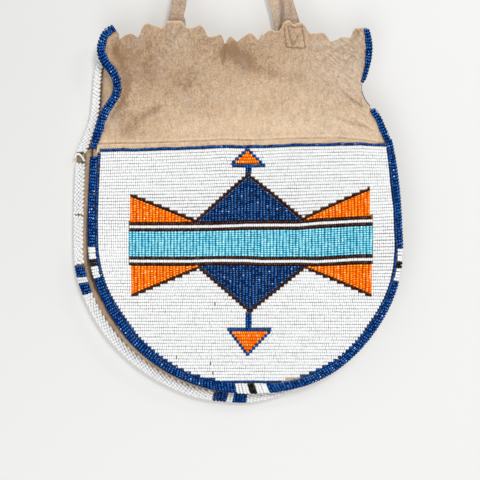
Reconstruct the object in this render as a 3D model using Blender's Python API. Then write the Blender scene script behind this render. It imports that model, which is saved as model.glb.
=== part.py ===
"""A flat hide bag with a bead-covered front, standing in its hanging pose.

The front is a beaded lower panel with a round bottom and a plain hide yoke with a scalloped mouth.
The back is one hide, set a little lower and to the left, and a hide gusset joins the two all round.
Rolled bead edging wraps both edges, and each side has a strap handle that swings at its feet.

Sizes are in metres. The bag is drawn about the centre of its round bottom, x to the right as seen
from the front, y to the back, z up, and an empty then hangs it below the point where the handles
go over a peg, which is the world origin.
"""

import math

import bmesh
import bpy
from mathutils import Vector

MM = 0.001

# Hide and clearances
HIDE = 1.2 * MM
GUSSET_HIDE = 1.0 * MM
SKIVING = 0.3 * MM  # thinning of the back hide's rim, on its outer face
CLEARANCE = 0.3 * MM  # between pieces that lie on or beside each other
DEPTH = 16.0 * MM  # between the middles of the front and back hides, at the fold
BELLY = 4.5 * MM  # how far the full front panel stands proud of its top and bottom

# Outline, along the middle of the bead edging
BOTTOM_RADIUS = 100.0 * MM
SIDE_HEIGHT = 65.7 * MM  # from the bottom's centre up to the fold between panel and yoke
LEFT_LEAN = 1.8 * MM  # how far each side draws in on the way up to the fold
RIGHT_LEAN = 6.3 * MM
YOKE_HEIGHT = 75.3 * MM
BACK_LEFT = 12.0 * MM  # the back hangs this far to the left of the front
BACK_LOW = 6.0 * MM  # and this far below it
OUTLINE_STEPS = 48
YOKE_STEPS = 14

# Each side of the yoke above the fold, as height in the yoke and half width over bottom radius
FRONT_LEFT_SHARES = (
    (0.136, 0.957), (0.259, 0.921), (0.355, 0.872), (0.440, 0.844), (0.530, 0.850),
    (0.610, 0.880), (0.690, 0.926), (0.760, 0.948), (0.850, 0.946), (0.960, 0.905),
)
FRONT_RIGHT_SHARES = (
    (0.110, 0.910), (0.210, 0.878), (0.285, 0.832), (0.355, 0.790), (0.430, 0.767),
    (0.510, 0.764), (0.627, 0.792), (0.750, 0.812), (0.864, 0.812), (0.960, 0.795),
)
BACK_LEFT_SHARES = (
    (0.130, 0.942), (0.260, 0.905), (0.400, 0.885), (0.520, 0.878), (0.620, 0.872),
    (0.740, 0.868), (0.860, 0.862), (0.960, 0.856),
)

# The scalloped mouth: each notch as its place across the mouth, its depth, and the rise of the
# scallop after it, both over the scallop depth
SCALLOP_DEPTH = 9.2 * MM
SCALLOP_STEPS = 5
FRONT_NOTCH_SHARES = (
    (0.000, 0.10, 0.10), (0.035, 0.80, 0.30), (0.105, 0.71, 0.60), (0.197, 0.12, 0.44),
    (0.300, 0.12, 0.40), (0.382, 0.71, 0.40), (0.453, 1.29, 0.50), (0.502, 1.04, 0.52),
    (0.581, 0.93, 0.38), (0.663, 0.25, 0.56), (0.771, 0.46, 0.25), (0.860, 1.07, 0.20),
    (0.953, 0.64, 0.12), (1.000, 0.10, 0.00),
)
BACK_NOTCH_SHARES = (
    (0.000, 0.10, 0.15), (0.060, 0.75, 0.45), (0.150, 0.80, 0.50), (0.245, 0.30, 0.50),
    (0.365, 0.35, 0.50), (0.450, 0.95, 0.50), (0.540, 0.90, 0.55), (0.640, 0.30, 0.55),
    (0.765, 0.35, 0.45), (0.850, 0.90, 0.40), (0.940, 0.70, 0.15), (1.000, 0.10, 0.00),
)

# Slack in the yoke: one outward fold on each side of the mouth's middle
WAVE = 1.8 * MM
WAVE_LENGTH = 94.0 * MM
YOKE_CELL = 12.0 * MM
BELLY_FACETS = 14

# Seed beads
LANE = 2.1 * MM  # from the middle of one strung row to the next
BEAD = 1.8 * MM  # height of a row above the hide
BEAD_VALLEY = 1.1 * MM  # height between two rows
MARGIN = 3.0 * MM  # bare hide above the top border row
SHARP_TIP = 0.8 * MM  # a fill narrower than this is left off

# Rolled bead edging
EDGING_WIDTH = 5.4 * MM
EDGING_THICKNESS = 5.2 * MM
EDGING_BITE = 1.0 * MM  # how far the hide's edge passes the edging's middle
EDGING_SIDES = 9
LEFT_CORNER_GAP = 10.9 * MM  # bare corner between the yoke's edging and the panel's
RIGHT_CORNER_GAP = 1.0 * MM
YOKE_EDGING_GAP = 1.6 * MM  # from the fold up to the yoke's edging
FRONT_BLOCK_PALE = 8.2 * MM
FRONT_BLOCK_DARK = 4.6 * MM
FRONT_BLOCK_FROM_FOLD = 80.5 * MM
FRONT_BLOCK_ASIDE = 4.8 * MM  # the bottom block sits this far right of the middle
BACK_BLOCK_BLUE = 7.6 * MM
BACK_BLOCK_PALE = 4.0 * MM
BACK_BLOCK_FROM_FOLD = 87.0 * MM

# Gusset
FLANGE = 3.2 * MM  # from the edging's middle in to the gusset's wall
YOKE_FLANGE_START = 3.4 * MM  # the yoke's edging stays clear of the gusset by this
YOKE_FLANGE = 6.6 * MM
FLANGE_CHANGE = 3.3 * MM  # below the fold, where the flange leaves the edging

# Motif on the panel
MOTIF_RIGHT = 2.6 * MM  # its middle, from the bottom's centre
MOTIF_DOWN = 1.3 * MM
SIDE_GROUND = 18.0 * MM  # white rows between the border row and the motif's left end
BAND_HEIGHT = 17.6 * MM
VALLEY_SHARE = 0.449  # of the motif's half length, out to where a wedge meets the diamond
WEDGE_HEIGHT = 17.8 * MM
UPPER_STEM = 2.4 * MM
LOWER_STEM = 9.9 * MM
UPPER_ARROW_HALF = 9.8 * MM
UPPER_ARROW_HEIGHT = 10.4 * MM
LOWER_ARROW_HALF = 12.5 * MM
LOWER_ARROW_HEIGHT = 15.0 * MM

# Handles
STRAP_WIDTH = 9.0 * MM
STRAP_THICKNESS = 2.2 * MM
STRAP_LEAN = math.radians(10.0)
STRAP_END_SHARE = 0.55  # thickness left at a strap's end
STRAP_END = 1.6 * MM  # a strap runs this far below its swing axis
STRAP_EDGE_SHARES = ((-1.0, 0.0), (-0.8, 0.85), (0.0, 1.0), (0.8, 0.85))
TWIST_SHARES = (0.25, 0.95)  # of the way up, where a strap turns from facing forward to lying flat
HANDLE_LEFT = 7.4 * MM  # the front handle's middle, left of the bottom's centre
HANDLE_HALF_SPAN = 37.6 * MM
REAR_HANDLE_LEFT = 11.6 * MM
REAR_HALF_SPAN = 33.6 * MM
HANDLE_RISE = 85.0 * MM  # from the swing axis to the peg
AXIS_ABOVE_MOUTH = 7.0 * MM  # the swing axis over the mouth's top line
FOOT_WIDTH = 12.0 * MM
FOOT_THICKNESS = 1.6 * MM
FOOT_DOWN = 14.4 * MM  # how far a foot reaches down inside the mouth's top line
FOOT_TO_AXIS = 3.1 * MM
LEG_STEPS = 7
ARCH_STEPS = 12

MOUTH_Z = SIDE_HEIGHT + YOKE_HEIGHT
FRONT_AXIS_Z = MOUTH_Z + AXIS_ABOVE_MOUTH
REAR_AXIS_Z = FRONT_AXIS_Z - BACK_LOW
EDGING_HALF = EDGING_WIDTH / 2
STRAND = LANE - CLEARANCE  # width of a row that is a piece of its own
FIELD_HALF_WIDTH = BOTTOM_RADIUS - EDGING_HALF - CLEARANCE - LANE  # of the white field
MOTIF_HALF_LENGTH = FIELD_HALF_WIDTH + CLEARANCE - SIDE_GROUND + MOTIF_RIGHT
SAME_PLACE = 1e-4 * MM  # points this close are one point
SMOOTH_UP_TO = math.radians(35)

COLOURS = {
    "hide": ((0.54, 0.40, 0.27), 0.92),
    "hide_dark": ((0.47, 0.34, 0.22), 0.92),
    "white_bead": ((0.82, 0.83, 0.82), 0.25),
    "navy_bead": ((0.01, 0.035, 0.19), 0.22),
    "blue_bead": ((0.015, 0.07, 0.33), 0.22),
    "orange_bead": ((0.92, 0.19, 0.01), 0.25),
    "turquoise_bead": ((0.15, 0.58, 0.72), 0.25),
    "brown_bead": ((0.055, 0.022, 0.015), 0.3),
    "black_bead": ((0.008, 0.008, 0.009), 0.25),
}
MATERIALS = {}


def clear_scene():
    for old in list(bpy.data.objects):
        bpy.data.objects.remove(old)


def material(name):
    if name not in MATERIALS:
        colour, roughness = COLOURS[name]
        made = bpy.data.materials.new(name)
        made.use_nodes = True
        shader = made.node_tree.nodes["Principled BSDF"]
        shader.inputs["Base Color"].default_value = (*colour, 1)
        shader.inputs["Roughness"].default_value = roughness
        shader.inputs["Metallic"].default_value = 0
        MATERIALS[name] = made
    return MATERIALS[name]


def add_empty(name, place, parent=None):
    empty = bpy.data.objects.new(name, None)
    bpy.context.scene.collection.objects.link(empty)
    empty.parent = parent
    empty.location = place
    return empty


def add_piece(name, bm, colour, mount):
    """Makes bm, drawn in the bag's own frame, an object whose origin is its mount's."""
    empty, place = mount
    bmesh.ops.translate(bm, verts=bm.verts[:], vec=-place)
    bmesh.ops.recalc_face_normals(bm, faces=bm.faces[:])
    mesh = bpy.data.meshes.new(name)
    bm.to_mesh(mesh)
    bm.free()
    mesh.shade_smooth()
    mesh.set_sharp_from_angle(angle=SMOOTH_UP_TO)
    mesh.materials.append(material(colour))
    piece = bpy.data.objects.new(name, mesh)
    bpy.context.scene.collection.objects.link(piece)
    piece.parent = empty
    return piece


# Surfaces that the hides lie on


def belly_stations():
    low = -BOTTOM_RADIUS
    return [low + (SIDE_HEIGHT - low) * i / BELLY_FACETS for i in range(BELLY_FACETS + 1)]


def belly_at(z):
    reach = (SIDE_HEIGHT + BOTTOM_RADIUS) / 2
    along = (z - (SIDE_HEIGHT - BOTTOM_RADIUS) / 2) / reach
    return BELLY * max(0, 1 - along * along)


def panel_y(z):
    """The middle of the front panel's hide. It bulges in flat facets from the fold to the bottom."""
    stations = belly_stations()
    z = min(max(z, stations[0]), stations[-1])
    size = stations[1] - stations[0]
    at = min(int((z - stations[0]) / size), BELLY_FACETS - 1)
    share = (z - stations[at]) / size
    return -DEPTH / 2 - belly_at(stations[at]) * (1 - share) - belly_at(stations[at + 1]) * share


def yoke_y(x, z):
    """The middle of the yoke's hide, which folds outwards towards the mouth."""
    rise = min(max((z - SIDE_HEIGHT) / YOKE_HEIGHT, 0), 1)
    fold = 0.5 - 0.5 * math.cos(2 * math.pi * (x + HANDLE_LEFT) / WAVE_LENGTH)
    return -DEPTH / 2 - WAVE * rise * fold


def front_y(x, z):
    return panel_y(z) if z < SIDE_HEIGHT else yoke_y(x, z)


# Edge lines, as lists of (x, z, outward x, outward z) in the plane of a hide


def lean_radius(lean):
    return (SIDE_HEIGHT**2 + lean**2) / (2 * lean)


def round_part():
    """The U from the fold on the left, round the bottom, to the fold on the right."""
    arcs = []
    left, right = lean_radius(LEFT_LEAN), lean_radius(RIGHT_LEAN)
    swing_left = math.asin(SIDE_HEIGHT / left)
    swing_right = math.asin(SIDE_HEIGHT / right)
    arcs.append((left - BOTTOM_RADIUS, left, math.pi - swing_left, math.pi))
    arcs.append((0, BOTTOM_RADIUS, math.pi, 2 * math.pi))
    arcs.append((BOTTOM_RADIUS - right, right, 0, swing_right))
    lengths = [radius * (end - start) for _, radius, start, end in arcs]
    line = []
    for (centre, radius, start, end), length in zip(arcs, lengths):
        steps = max(2, round(OUTLINE_STEPS * length / sum(lengths)))
        for i in range(steps + 1):
            turn = start + (end - start) * i / steps
            out = (math.cos(turn), math.sin(turn))
            station = (centre + radius * out[0], radius * out[1], *out)
            if not line or math.dist(line[-1][:2], station[:2]) > SAME_PLACE:
                line.append(station)
    return line


def through(points, steps):
    """Points spaced evenly by number along the smooth curve through the given ones."""
    ends = [points[0], *points, points[-1]]
    found = []
    for i in range(steps + 1):
        at = i / steps * (len(points) - 1)
        k = min(int(at), len(points) - 2)
        t = at - k
        a, b, c, d = ends[k : k + 4]
        found.append(
            tuple(
                b[j]
                + 0.5 * t * (c[j] - a[j])
                + t * t * (a[j] - 2.5 * b[j] + 2 * c[j] - 0.5 * d[j])
                + t**3 * (1.5 * b[j] - 1.5 * c[j] + 0.5 * d[j] - 0.5 * a[j])
                for j in range(2)
            )
        )
    return found


def yoke_side(shares, side):
    """One side of a yoke from the fold up. side is -1 on the left and 1 on the right."""
    lean = LEFT_LEAN if side < 0 else RIGHT_LEAN
    points = [(side * (BOTTOM_RADIUS - lean), SIDE_HEIGHT)]
    points += [(side * BOTTOM_RADIUS * w, SIDE_HEIGHT + YOKE_HEIGHT * h) for h, w in shares]
    curve = through(points, YOKE_STEPS)
    line = []
    for i, (x, z) in enumerate(curve):
        before, after = curve[max(i - 1, 0)], curve[min(i + 1, YOKE_STEPS)]
        along = Vector((after[0] - before[0], after[1] - before[1])).normalized()
        line.append((x, z, side * along.y, -side * along.x))
    return line


def edge_lines(left_shares, right_shares, aside=0, down=0):
    """The left side, the U and the right side of a hide, each from its left or top end."""
    parts = [yoke_side(left_shares, -1)[::-1], round_part(), yoke_side(right_shares, 1)]
    return [[(x - aside, z - down, a, b) for x, z, a, b in part] for part in parts]


def offset(line, out):
    return [(x + a * out, z + b * out) for x, z, a, b in line]


def cut_line(line, start, end):
    """The stretch of an edge line between two lengths along it."""
    lengths = [0]
    for before, after in zip(line, line[1:]):
        lengths.append(lengths[-1] + math.dist(before[:2], after[:2]))

    def at(length):
        k = max(i for i in range(len(line) - 1) if lengths[i] <= max(length, 0))
        share = (length - lengths[k]) / (lengths[k + 1] - lengths[k])
        return tuple(a + (b - a) * share for a, b in zip(line[k], line[k + 1]))

    size = (end - start) / len(line) ** 2
    inside = [s for s, d in zip(line, lengths) if start + size < d < end - size]
    return [at(start), *inside, at(end)]


def line_length(line):
    return sum(math.dist(a[:2], b[:2]) for a, b in zip(line, line[1:]))


# Flat work: an outline in x and z, cut into cells, bent over a surface and given its thickness


def cut_cells(bm, xs=(), zs=()):
    for axis, places in ((Vector((1, 0, 0)), xs), (Vector((0, 0, 1)), zs)):
        for place in places:
            geometry = bm.verts[:] + bm.edges[:] + bm.faces[:]
            bmesh.ops.bisect_plane(
                bm, geom=geometry, dist=SAME_PLACE, plane_co=axis * place, plane_no=axis
            )


def sheet(polygons, inner, outer, xs=(), zs=()):
    """A closed slab over the polygons, between the surfaces inner and outer, both y of (x, z)."""
    flat = bmesh.new()
    for polygon in polygons:
        flat.faces.new([flat.verts.new((x, 0, z)) for x, z in polygon])
    bmesh.ops.remove_doubles(flat, verts=flat.verts[:], dist=SAME_PLACE)
    cut_cells(flat, xs, zs)
    solid = bmesh.new()
    back = [solid.verts.new((v.co.x, inner(v.co.x, v.co.z), v.co.z)) for v in flat.verts]
    front = [solid.verts.new((v.co.x, outer(v.co.x, v.co.z), v.co.z)) for v in flat.verts]
    flat.verts.index_update()
    for face in flat.faces:
        ring = [v.index for v in face.verts]
        solid.faces.new([front[i] for i in ring])
        solid.faces.new([back[i] for i in reversed(ring)])
    for edge in flat.edges:
        if len(edge.link_faces) == 1:
            a, b = (v.index for v in edge.verts)
            solid.faces.new((front[a], front[b], back[b], back[a]))
    flat.free()
    return solid


def grid(low, high, size):
    count = max(1, round((high - low) / size))
    return [low + (high - low) * i / count for i in range(1, count)]


def bead_bed(_, z):
    """Where beads lie on the front panel, just clear of its hide."""
    return panel_y(z) - HIDE / 2 - CLEARANCE


def ridge(across, pitch):
    """1 on the crown of a strung row and 0 between two rows. across is 0 between two rows."""
    share = across / pitch % 1
    return 1 - abs(2 * share - 1)


def beadwork(name, polygons, height, colour, mount, xs=(), zs=()):
    bm = sheet(
        polygons,
        bead_bed,
        lambda x, z: bead_bed(x, z) - height(x, z),
        xs,
        [*zs, *belly_stations()],
    )
    return add_piece(name, bm, colour, mount)


def upright_rows(name, polygon, middle, colour, mount):
    """Strung rows that stand upright, counted from the motif's middle."""
    low, high = (pick(x for x, _ in polygon) for pick in (min, max))
    first = math.floor((low - middle) / LANE * 2)
    last = math.ceil((high - middle) / LANE * 2)
    xs = [middle + i * LANE / 2 for i in range(first, last + 1)]

    def height(x, _):
        return BEAD_VALLEY + (BEAD - BEAD_VALLEY) * ridge(x - middle, LANE)

    beadwork(name, [polygon], height, colour, mount, xs=[x for x in xs if low < x < high])


def level_rows(name, polygon, colour, mount):
    """Strung rows that lie level, counted down from the top of the outline."""
    low, high = (pick(z for _, z in polygon) for pick in (min, max))
    count = math.ceil((high - low) / LANE * 2)
    zs = [high - i * LANE / 2 for i in range(1, count)]

    def height(_, z):
        return BEAD_VALLEY + (BEAD - BEAD_VALLEY) * ridge(high - z, LANE)

    beadwork(name, [polygon], height, colour, mount, zs=zs)


def mitred(path, side, half, closed=False):
    """The line half away from a path, on one side, with its corners mitred."""
    found = []
    for i, here in enumerate(path):
        before = path[i - 1] if i or closed else None
        after = path[(i + 1) % len(path)] if i < len(path) - 1 or closed else None
        ways = []
        for a, b in ((before, here), (here, after)):
            if a is not None and b is not None:
                ways.append(Vector((b[0] - a[0], b[1] - a[1])).normalized())
        normals = [Vector((-w.y, w.x)) * side for w in ways]
        middle = sum(normals, Vector((0, 0))).normalized()
        reach = half / middle.dot(normals[0])
        found.append((here[0] + middle.x * reach, here[1] + middle.y * reach))
    return found


def path_gap(x, z, path, closed=False):
    """The distance from a point to a path."""
    ends = list(zip(path, path[1:] + path[:1] if closed else path[1:]))
    best = math.inf
    for a, b in ends:
        along = Vector((b[0] - a[0], b[1] - a[1]))
        to = Vector((x - a[0], z - a[1]))
        share = min(max(to.dot(along) / along.length_squared, 0), 1)
        best = min(best, (to - along * share).length)
    return best


def strung_line(name, path, colour, mount, closed=False):
    """One strung row of beads laid along a path."""
    half = STRAND / 2
    rows = [mitred(path, 1, half, closed), list(path), mitred(path, -1, half, closed)]
    quads = []
    for one, other in zip(rows, rows[1:]):
        for i in range(len(path) - (not closed)):
            k = (i + 1) % len(path)
            quads.append([one[i], one[k], other[k], other[i]])

    def height(x, z):
        off = path_gap(x, z, path, closed) / half
        return BEAD_VALLEY + (BEAD - BEAD_VALLEY) * max(0, 1 - off)

    beadwork(name, quads, height, colour, mount)


# Pieces of the front panel


def side_x(side, z, inset):
    """Where the U, moved in by inset, crosses height z above the bottom's centre."""
    radius = lean_radius(LEFT_LEAN if side < 0 else RIGHT_LEAN)
    reach = math.sqrt((radius - inset) ** 2 - z**2)
    return side * (BOTTOM_RADIUS - radius + reach)


def u_outline(inset, top):
    """The U moved in by inset and closed at height top, from its top left to its top right."""
    below = [s for s in round_part() if s[1] < SIDE_HEIGHT - MARGIN - 3 * LANE]
    inner = offset(below, -inset)
    return [(side_x(-1, top, inset), top), *inner, (side_x(1, top, inset), top)]


def crossing(a, b, c, d):
    """Where the line through a and b meets the line through c and d."""
    ab, cd = Vector(b) - Vector(a), Vector(d) - Vector(c)
    share = (Vector(c) - Vector(a)).cross(cd) / ab.cross(cd)
    return tuple(Vector(a) + ab * share)


def motif_heights():
    """How far the motif's levels lie above its middle, from the band outwards."""
    band = BAND_HEIGHT / 2
    inner = band + CLEARANCE + STRAND / 2
    stripe = inner + LANE
    outer = stripe + LANE
    floor = outer + STRAND / 2 + CLEARANCE
    return {"inner": inner, "stripe": stripe, "outer": outer, "floor": floor}


def diamond_height():
    """What the room under the top border row leaves for the diamond below stem and arrow."""
    slope = math.atan2(UPPER_ARROW_HEIGHT, UPPER_ARROW_HALF)
    tip = UPPER_ARROW_HEIGHT + STRAND / 2 / math.cos(slope)
    room = top_row_z() - STRAND / 2 - CLEARANCE + MOTIF_DOWN - motif_heights()["floor"]
    return room - tip - UPPER_STEM - LANE


def in_motif(up):
    """Puts (across, height) points, given for the upper half, on the panel; up is 1 or -1."""
    return lambda points: [(MOTIF_RIGHT + x, up * z - MOTIF_DOWN) for x, z in points]


def zigzag_path():
    """The dark line over wedge, diamond and wedge, along its middle."""
    floor = motif_heights()["floor"]
    valley = floor + STRAND / 2
    corner = floor + WEDGE_HEIGHT
    valley_out = VALLEY_SHARE * MOTIF_HALF_LENGTH
    return [
        (-MOTIF_HALF_LENGTH, corner), (-valley_out, valley), (0, floor + diamond_height()),
        (valley_out, valley), (MOTIF_HALF_LENGTH, corner),
    ]


def arrow_path(stem, half, height):
    """The strand that runs up one side of a stem, round an arrow head and down the other side."""
    apex = motif_heights()["floor"] + diamond_height()
    aside = LANE / 2
    start = apex + LANE
    base = start + stem
    return [
        (-aside, start), (-aside, base), (-half, base), (0, base + height),
        (half, base), (aside, base), (aside, start),
    ]


def arrow_fill(stem, half, height):
    path = arrow_path(stem, half, height)
    inner = mitred(path, -1, STRAND / 2 + CLEARANCE)
    left, tip, right = inner[2], inner[3], inner[4]
    return [left, tip, right]


def arrow_sizes(up):
    if up > 0:
        return UPPER_STEM, UPPER_ARROW_HALF, UPPER_ARROW_HEIGHT
    return LOWER_STEM, LOWER_ARROW_HALF, LOWER_ARROW_HEIGHT


def half_silhouette(up):
    """The right side of the motif's upper or lower half, as seen from the white ground."""
    stem, half, height = arrow_sizes(up)
    grow = STRAND / 2 + CLEARANCE
    arrow = mitred(arrow_path(stem, half, height), 1, grow)
    zigzag = mitred(zigzag_path(), 1, grow)
    tip, shoulder = arrow[3], arrow[4]
    stem_x = arrow[5][0]
    under = arrow[5][1]
    slope = crossing(zigzag[2], zigzag[3], (stem_x, 0), (stem_x, 1))
    end = MOTIF_HALF_LENGTH + CLEARANCE
    corner = crossing(zigzag[3], zigzag[4], (end, 0), (end, 1))
    return [tip, shoulder, (stem_x, under), slope, zigzag[3], corner]


def white_ground(mount):
    """The white field: the U with the whole motif let into it from the top border."""
    inset = BOTTOM_RADIUS - FIELD_HALF_WIDTH
    top = top_row_z() - STRAND / 2 - CLEARANCE
    right = in_motif(1)(half_silhouette(1)) + in_motif(-1)(half_silhouette(-1))[::-1]
    left = [(2 * MOTIF_RIGHT - x, z) for x, z in right]
    slit = crossing(right[0], right[1], (0, top), (1, top))
    other_slit = (2 * MOTIF_RIGHT - slit[0], top)
    outer = u_outline(inset, top)
    outline = [*outer, slit, *right[1:], *left[-2:0:-1], other_slit]
    level_rows("white_ground", outline, "white_bead", mount)


def top_row_z():
    return SIDE_HEIGHT - CLEARANCE - MARGIN - STRAND / 2


def border_row(mount):
    """One blue row all round the panel, inside its edging and under its bare margin."""
    loops = []
    for step in (-1, 0, 1):
        inset = EDGING_HALF + CLEARANCE + (1 + step) * STRAND / 2
        loops.append(u_outline(inset, top_row_z() - step * STRAND / 2))
    middle = loops[1]
    quads = []
    for one, other in zip(loops, loops[1:]):
        for i in range(len(one)):
            k = (i + 1) % len(one)
            quads.append([one[i], one[k], other[k], other[i]])

    def height(x, z):
        off = path_gap(x, z, middle, True) / (STRAND / 2)
        return BEAD_VALLEY + (BEAD - BEAD_VALLEY) * max(0, 1 - off)

    beadwork("border_row", quads, height, "blue_bead", mount)


def motif_half(up, mount):
    """Everything in the motif above its band, or below it."""
    word = "upper" if up > 0 else "lower"
    place = in_motif(up)
    levels = motif_heights()
    end = MOTIF_HALF_LENGTH
    for name, level, colour in (
        ("band_line", levels["inner"], "brown_bead"),
        ("white_stripe", levels["stripe"], "white_bead"),
        ("base_line", levels["outer"], "brown_bead"),
    ):
        path = place([(-end, level), (end, level)])
        strung_line(f"{word}_{name}", path, colour, mount)
    zigzag = zigzag_path()
    strung_line(f"{word}_outline", place(zigzag), "brown_bead", mount)
    under = mitred(zigzag, -1, STRAND / 2 + CLEARANCE)
    floor = levels["floor"]
    base = ((0, floor), (1, floor))
    for side, word_side in ((-1, "left"), (1, "right")):
        tip = crossing(under[3], under[4], *base)
        high = crossing(under[3], under[4], (end, 0), (end, 1))
        share = SHARP_TIP / (high[1] - floor)
        blunt = (tip[0] + (end - tip[0]) * share, floor + SHARP_TIP)
        wedge = [(blunt[0], floor), blunt, high, (end, floor)]
        wedge = place([(side * x, z) for x, z in wedge])
        middle = MOTIF_RIGHT + side * (end % LANE)
        upright_rows(f"{word}_{word_side}_wedge", wedge, middle, "orange_bead", mount)
    foot = crossing(under[2], under[3], *base)
    diamond = place([(-foot[0], floor), under[2], (foot[0], floor)])
    upright_rows(f"{word}_diamond", diamond, MOTIF_RIGHT, "navy_bead", mount)
    sizes = arrow_sizes(up)
    strung_line(f"{word}_arrow_line", place(arrow_path(*sizes)), "blue_bead", mount)
    level_rows(f"{word}_arrow_fill", place(arrow_fill(*sizes)), "orange_bead", mount)


def centre_band(mount):
    end, half = MOTIF_HALF_LENGTH, BAND_HEIGHT / 2
    box = in_motif(1)([(-end, -half), (end, -half), (end, half), (-end, half)])
    upright_rows("centre_band", box, MOTIF_RIGHT, "turquoise_bead", mount)


# Hides


def scalloped_mouth(left, right, notches, down=0):
    """The mouth's cut edge from left to right: arched scallops between sharp notches."""
    points = []
    for (at, drop, rise), (next_at, next_drop, _) in zip(notches, notches[1:]):
        for i in range(SCALLOP_STEPS):
            t = i / SCALLOP_STEPS
            x = left + (right - left) * (at + (next_at - at) * t)
            depth = drop + (next_drop - drop) * t - rise * math.sin(math.pi * t)
            points.append((x, MOUTH_Z - down - SCALLOP_DEPTH * depth))
    return points


def front_foundation(mount):
    """The hide that the beads are sewn to, bare along its top."""
    outline = u_outline(-EDGING_BITE, SIDE_HEIGHT - CLEARANCE)
    bm = sheet(
        [outline],
        lambda _, z: panel_y(z) + HIDE / 2,
        lambda _, z: panel_y(z) - HIDE / 2,
        zs=belly_stations(),
    )
    add_piece("beaded_panel_hide", bm, "hide", mount)


def front_yoke(lines, mount):
    left, right = offset(lines[0], EDGING_BITE), offset(lines[2], EDGING_BITE)
    low = SIDE_HEIGHT + CLEARANCE
    left[-1] = (left[-1][0], low)
    right[0] = (right[0][0], low)
    mouth = scalloped_mouth(left[0][0], right[-1][0], FRONT_NOTCH_SHARES)
    outline = [*left[::-1], *mouth[1:], *right[::-1]]
    xs = [x for x, _ in outline]
    bm = sheet(
        [outline],
        lambda x, z: yoke_y(x, z) + HIDE / 2,
        lambda x, z: yoke_y(x, z) - HIDE / 2,
        xs=grid(min(xs), max(xs), YOKE_CELL),
        zs=grid(low, MOUTH_Z, YOKE_CELL),
    )
    add_piece("front_yoke_hide", bm, "hide", mount)


def back_hide(lines, mount):
    """One flat hide whose rim is skived on its outer face, so that the edging sits over it."""
    left, middle, right = lines
    line = [*left[:-1], *middle, *right[1:]]
    rim, flat = offset(line, EDGING_BITE), offset(line, -FLANGE)
    mouth = scalloped_mouth(flat[0][0], flat[-1][0], BACK_NOTCH_SHARES, BACK_LOW)
    flat[0] = mouth[0]
    face = [*flat, *mouth[:0:-1]]
    strips = [[rim[i], rim[i + 1], flat[i + 1], flat[i]] for i in range(len(line) - 1)]

    def outer(x, z):
        skived = path_gap(x, z, face, True) > SAME_PLACE
        return DEPTH / 2 + HIDE / 2 - (SKIVING if skived else 0)

    bm = sheet([face, *strips], lambda x, z: DEPTH / 2 - HIDE / 2, outer)
    add_piece("back_hide", bm, "hide", mount)


def rings_to_solid(rings):
    """A closed solid through rings of as many points each, with flat ends."""
    bm = bmesh.new()
    made = [[bm.verts.new(p) for p in ring] for ring in rings]
    for one, other in zip(made, made[1:]):
        for i in range(len(one)):
            k = (i + 1) % len(one)
            bm.faces.new((one[i], one[k], other[k], other[i]))
    bm.faces.new(made[0][::-1])
    bm.faces.new(made[-1])
    return bm


def gusset(front, back, mount):
    """The strip between the two hides. Each edge turns out as a flange inside the edging,
    except beside the yoke, where it stands behind the yoke's hide and is free of it."""
    rings = []
    last = len(front) - 1
    sections = zip(range(len(front)), front, back)
    for part, front_line, back_line in sections:
        stations = list(zip(front_line, back_line))
        if part:
            stations = stations[1:]
        for (fx, fz, fa, fb), (bx, bz, ba, bb) in stations:
            at_yoke = part in (0, last) or fz > SIDE_HEIGHT - FLANGE_CHANGE
            tip = YOKE_FLANGE_START if at_yoke else -EDGING_BITE
            wall = YOKE_FLANGE if at_yoke else FLANGE

            def on_front(inset, deep):
                x, z = fx - fa * inset, fz - fb * inset
                return (x, front_y(x, z) + HIDE / 2 + CLEARANCE + deep, z)

            def on_back(inset, deep):
                x, z = bx - ba * inset, bz - bb * inset
                return (x, DEPTH / 2 - HIDE / 2 - CLEARANCE - deep, z)

            rings.append(
                (
                    on_front(tip, 0),
                    on_front(wall + GUSSET_HIDE, 0),
                    on_back(FLANGE + GUSSET_HIDE, 0),
                    on_back(-EDGING_BITE, 0),
                    on_back(-EDGING_BITE, GUSSET_HIDE),
                    on_back(FLANGE, GUSSET_HIDE),
                    on_front(wall, GUSSET_HIDE),
                    on_front(tip, GUSSET_HIDE),
                )
            )
    add_piece("side_gusset", rings_to_solid(rings), "hide_dark", mount)


# Rolled bead edging


def edging(name, line, middle_y, stack, colour, mount):
    """A rolled edge of beads with a slot for the layers that it wraps. stack is their thickness."""
    slot = stack / 2 + CLEARANCE
    lip = math.pi - math.asin(slot / (EDGING_THICKNESS / 2))
    section = []
    for i in range(EDGING_SIDES):
        turn = lip - 2 * lip * i / (EDGING_SIDES - 1)
        section.append((EDGING_HALF * math.cos(turn), EDGING_THICKNESS / 2 * math.sin(turn)))
    floor = EDGING_BITE + CLEARANCE
    section += [(floor, -slot), (floor, slot)]
    rings = []
    for x, z, a, b in line:
        centre = middle_y(x, z)
        rings.append([(x + a * out, centre + deep, z + b * out) for out, deep in section])
    add_piece(name, rings_to_solid(rings), colour, mount)


def in_runs(prefix, line, runs, middle_y, stack, mount):
    """Edging in runs of colour, each given with the length where it ends."""
    start, runs = runs[0], runs[1:]
    for number, (colour, end) in enumerate(runs, 1):
        stretch = cut_line(line, start + CLEARANCE / 2, end - CLEARANCE / 2)
        word = colour.replace("_bead", "")
        name = f"{prefix}_{number:02d}_{word}"
        edging(name, stretch, middle_y, stack, colour, mount)
        start = end


def block_runs(start, end, centres, sizes, colours, ground):
    """Run ends for a ground colour broken by like blocks of colour at the given centres."""
    runs = [start]
    for centre in centres:
        at = centre - sum(sizes) / 2
        runs.append((ground, at))
        for size, colour in zip(sizes, colours):
            at += size
            runs.append((colour, at))
    runs.append((ground, end))
    return runs


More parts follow.
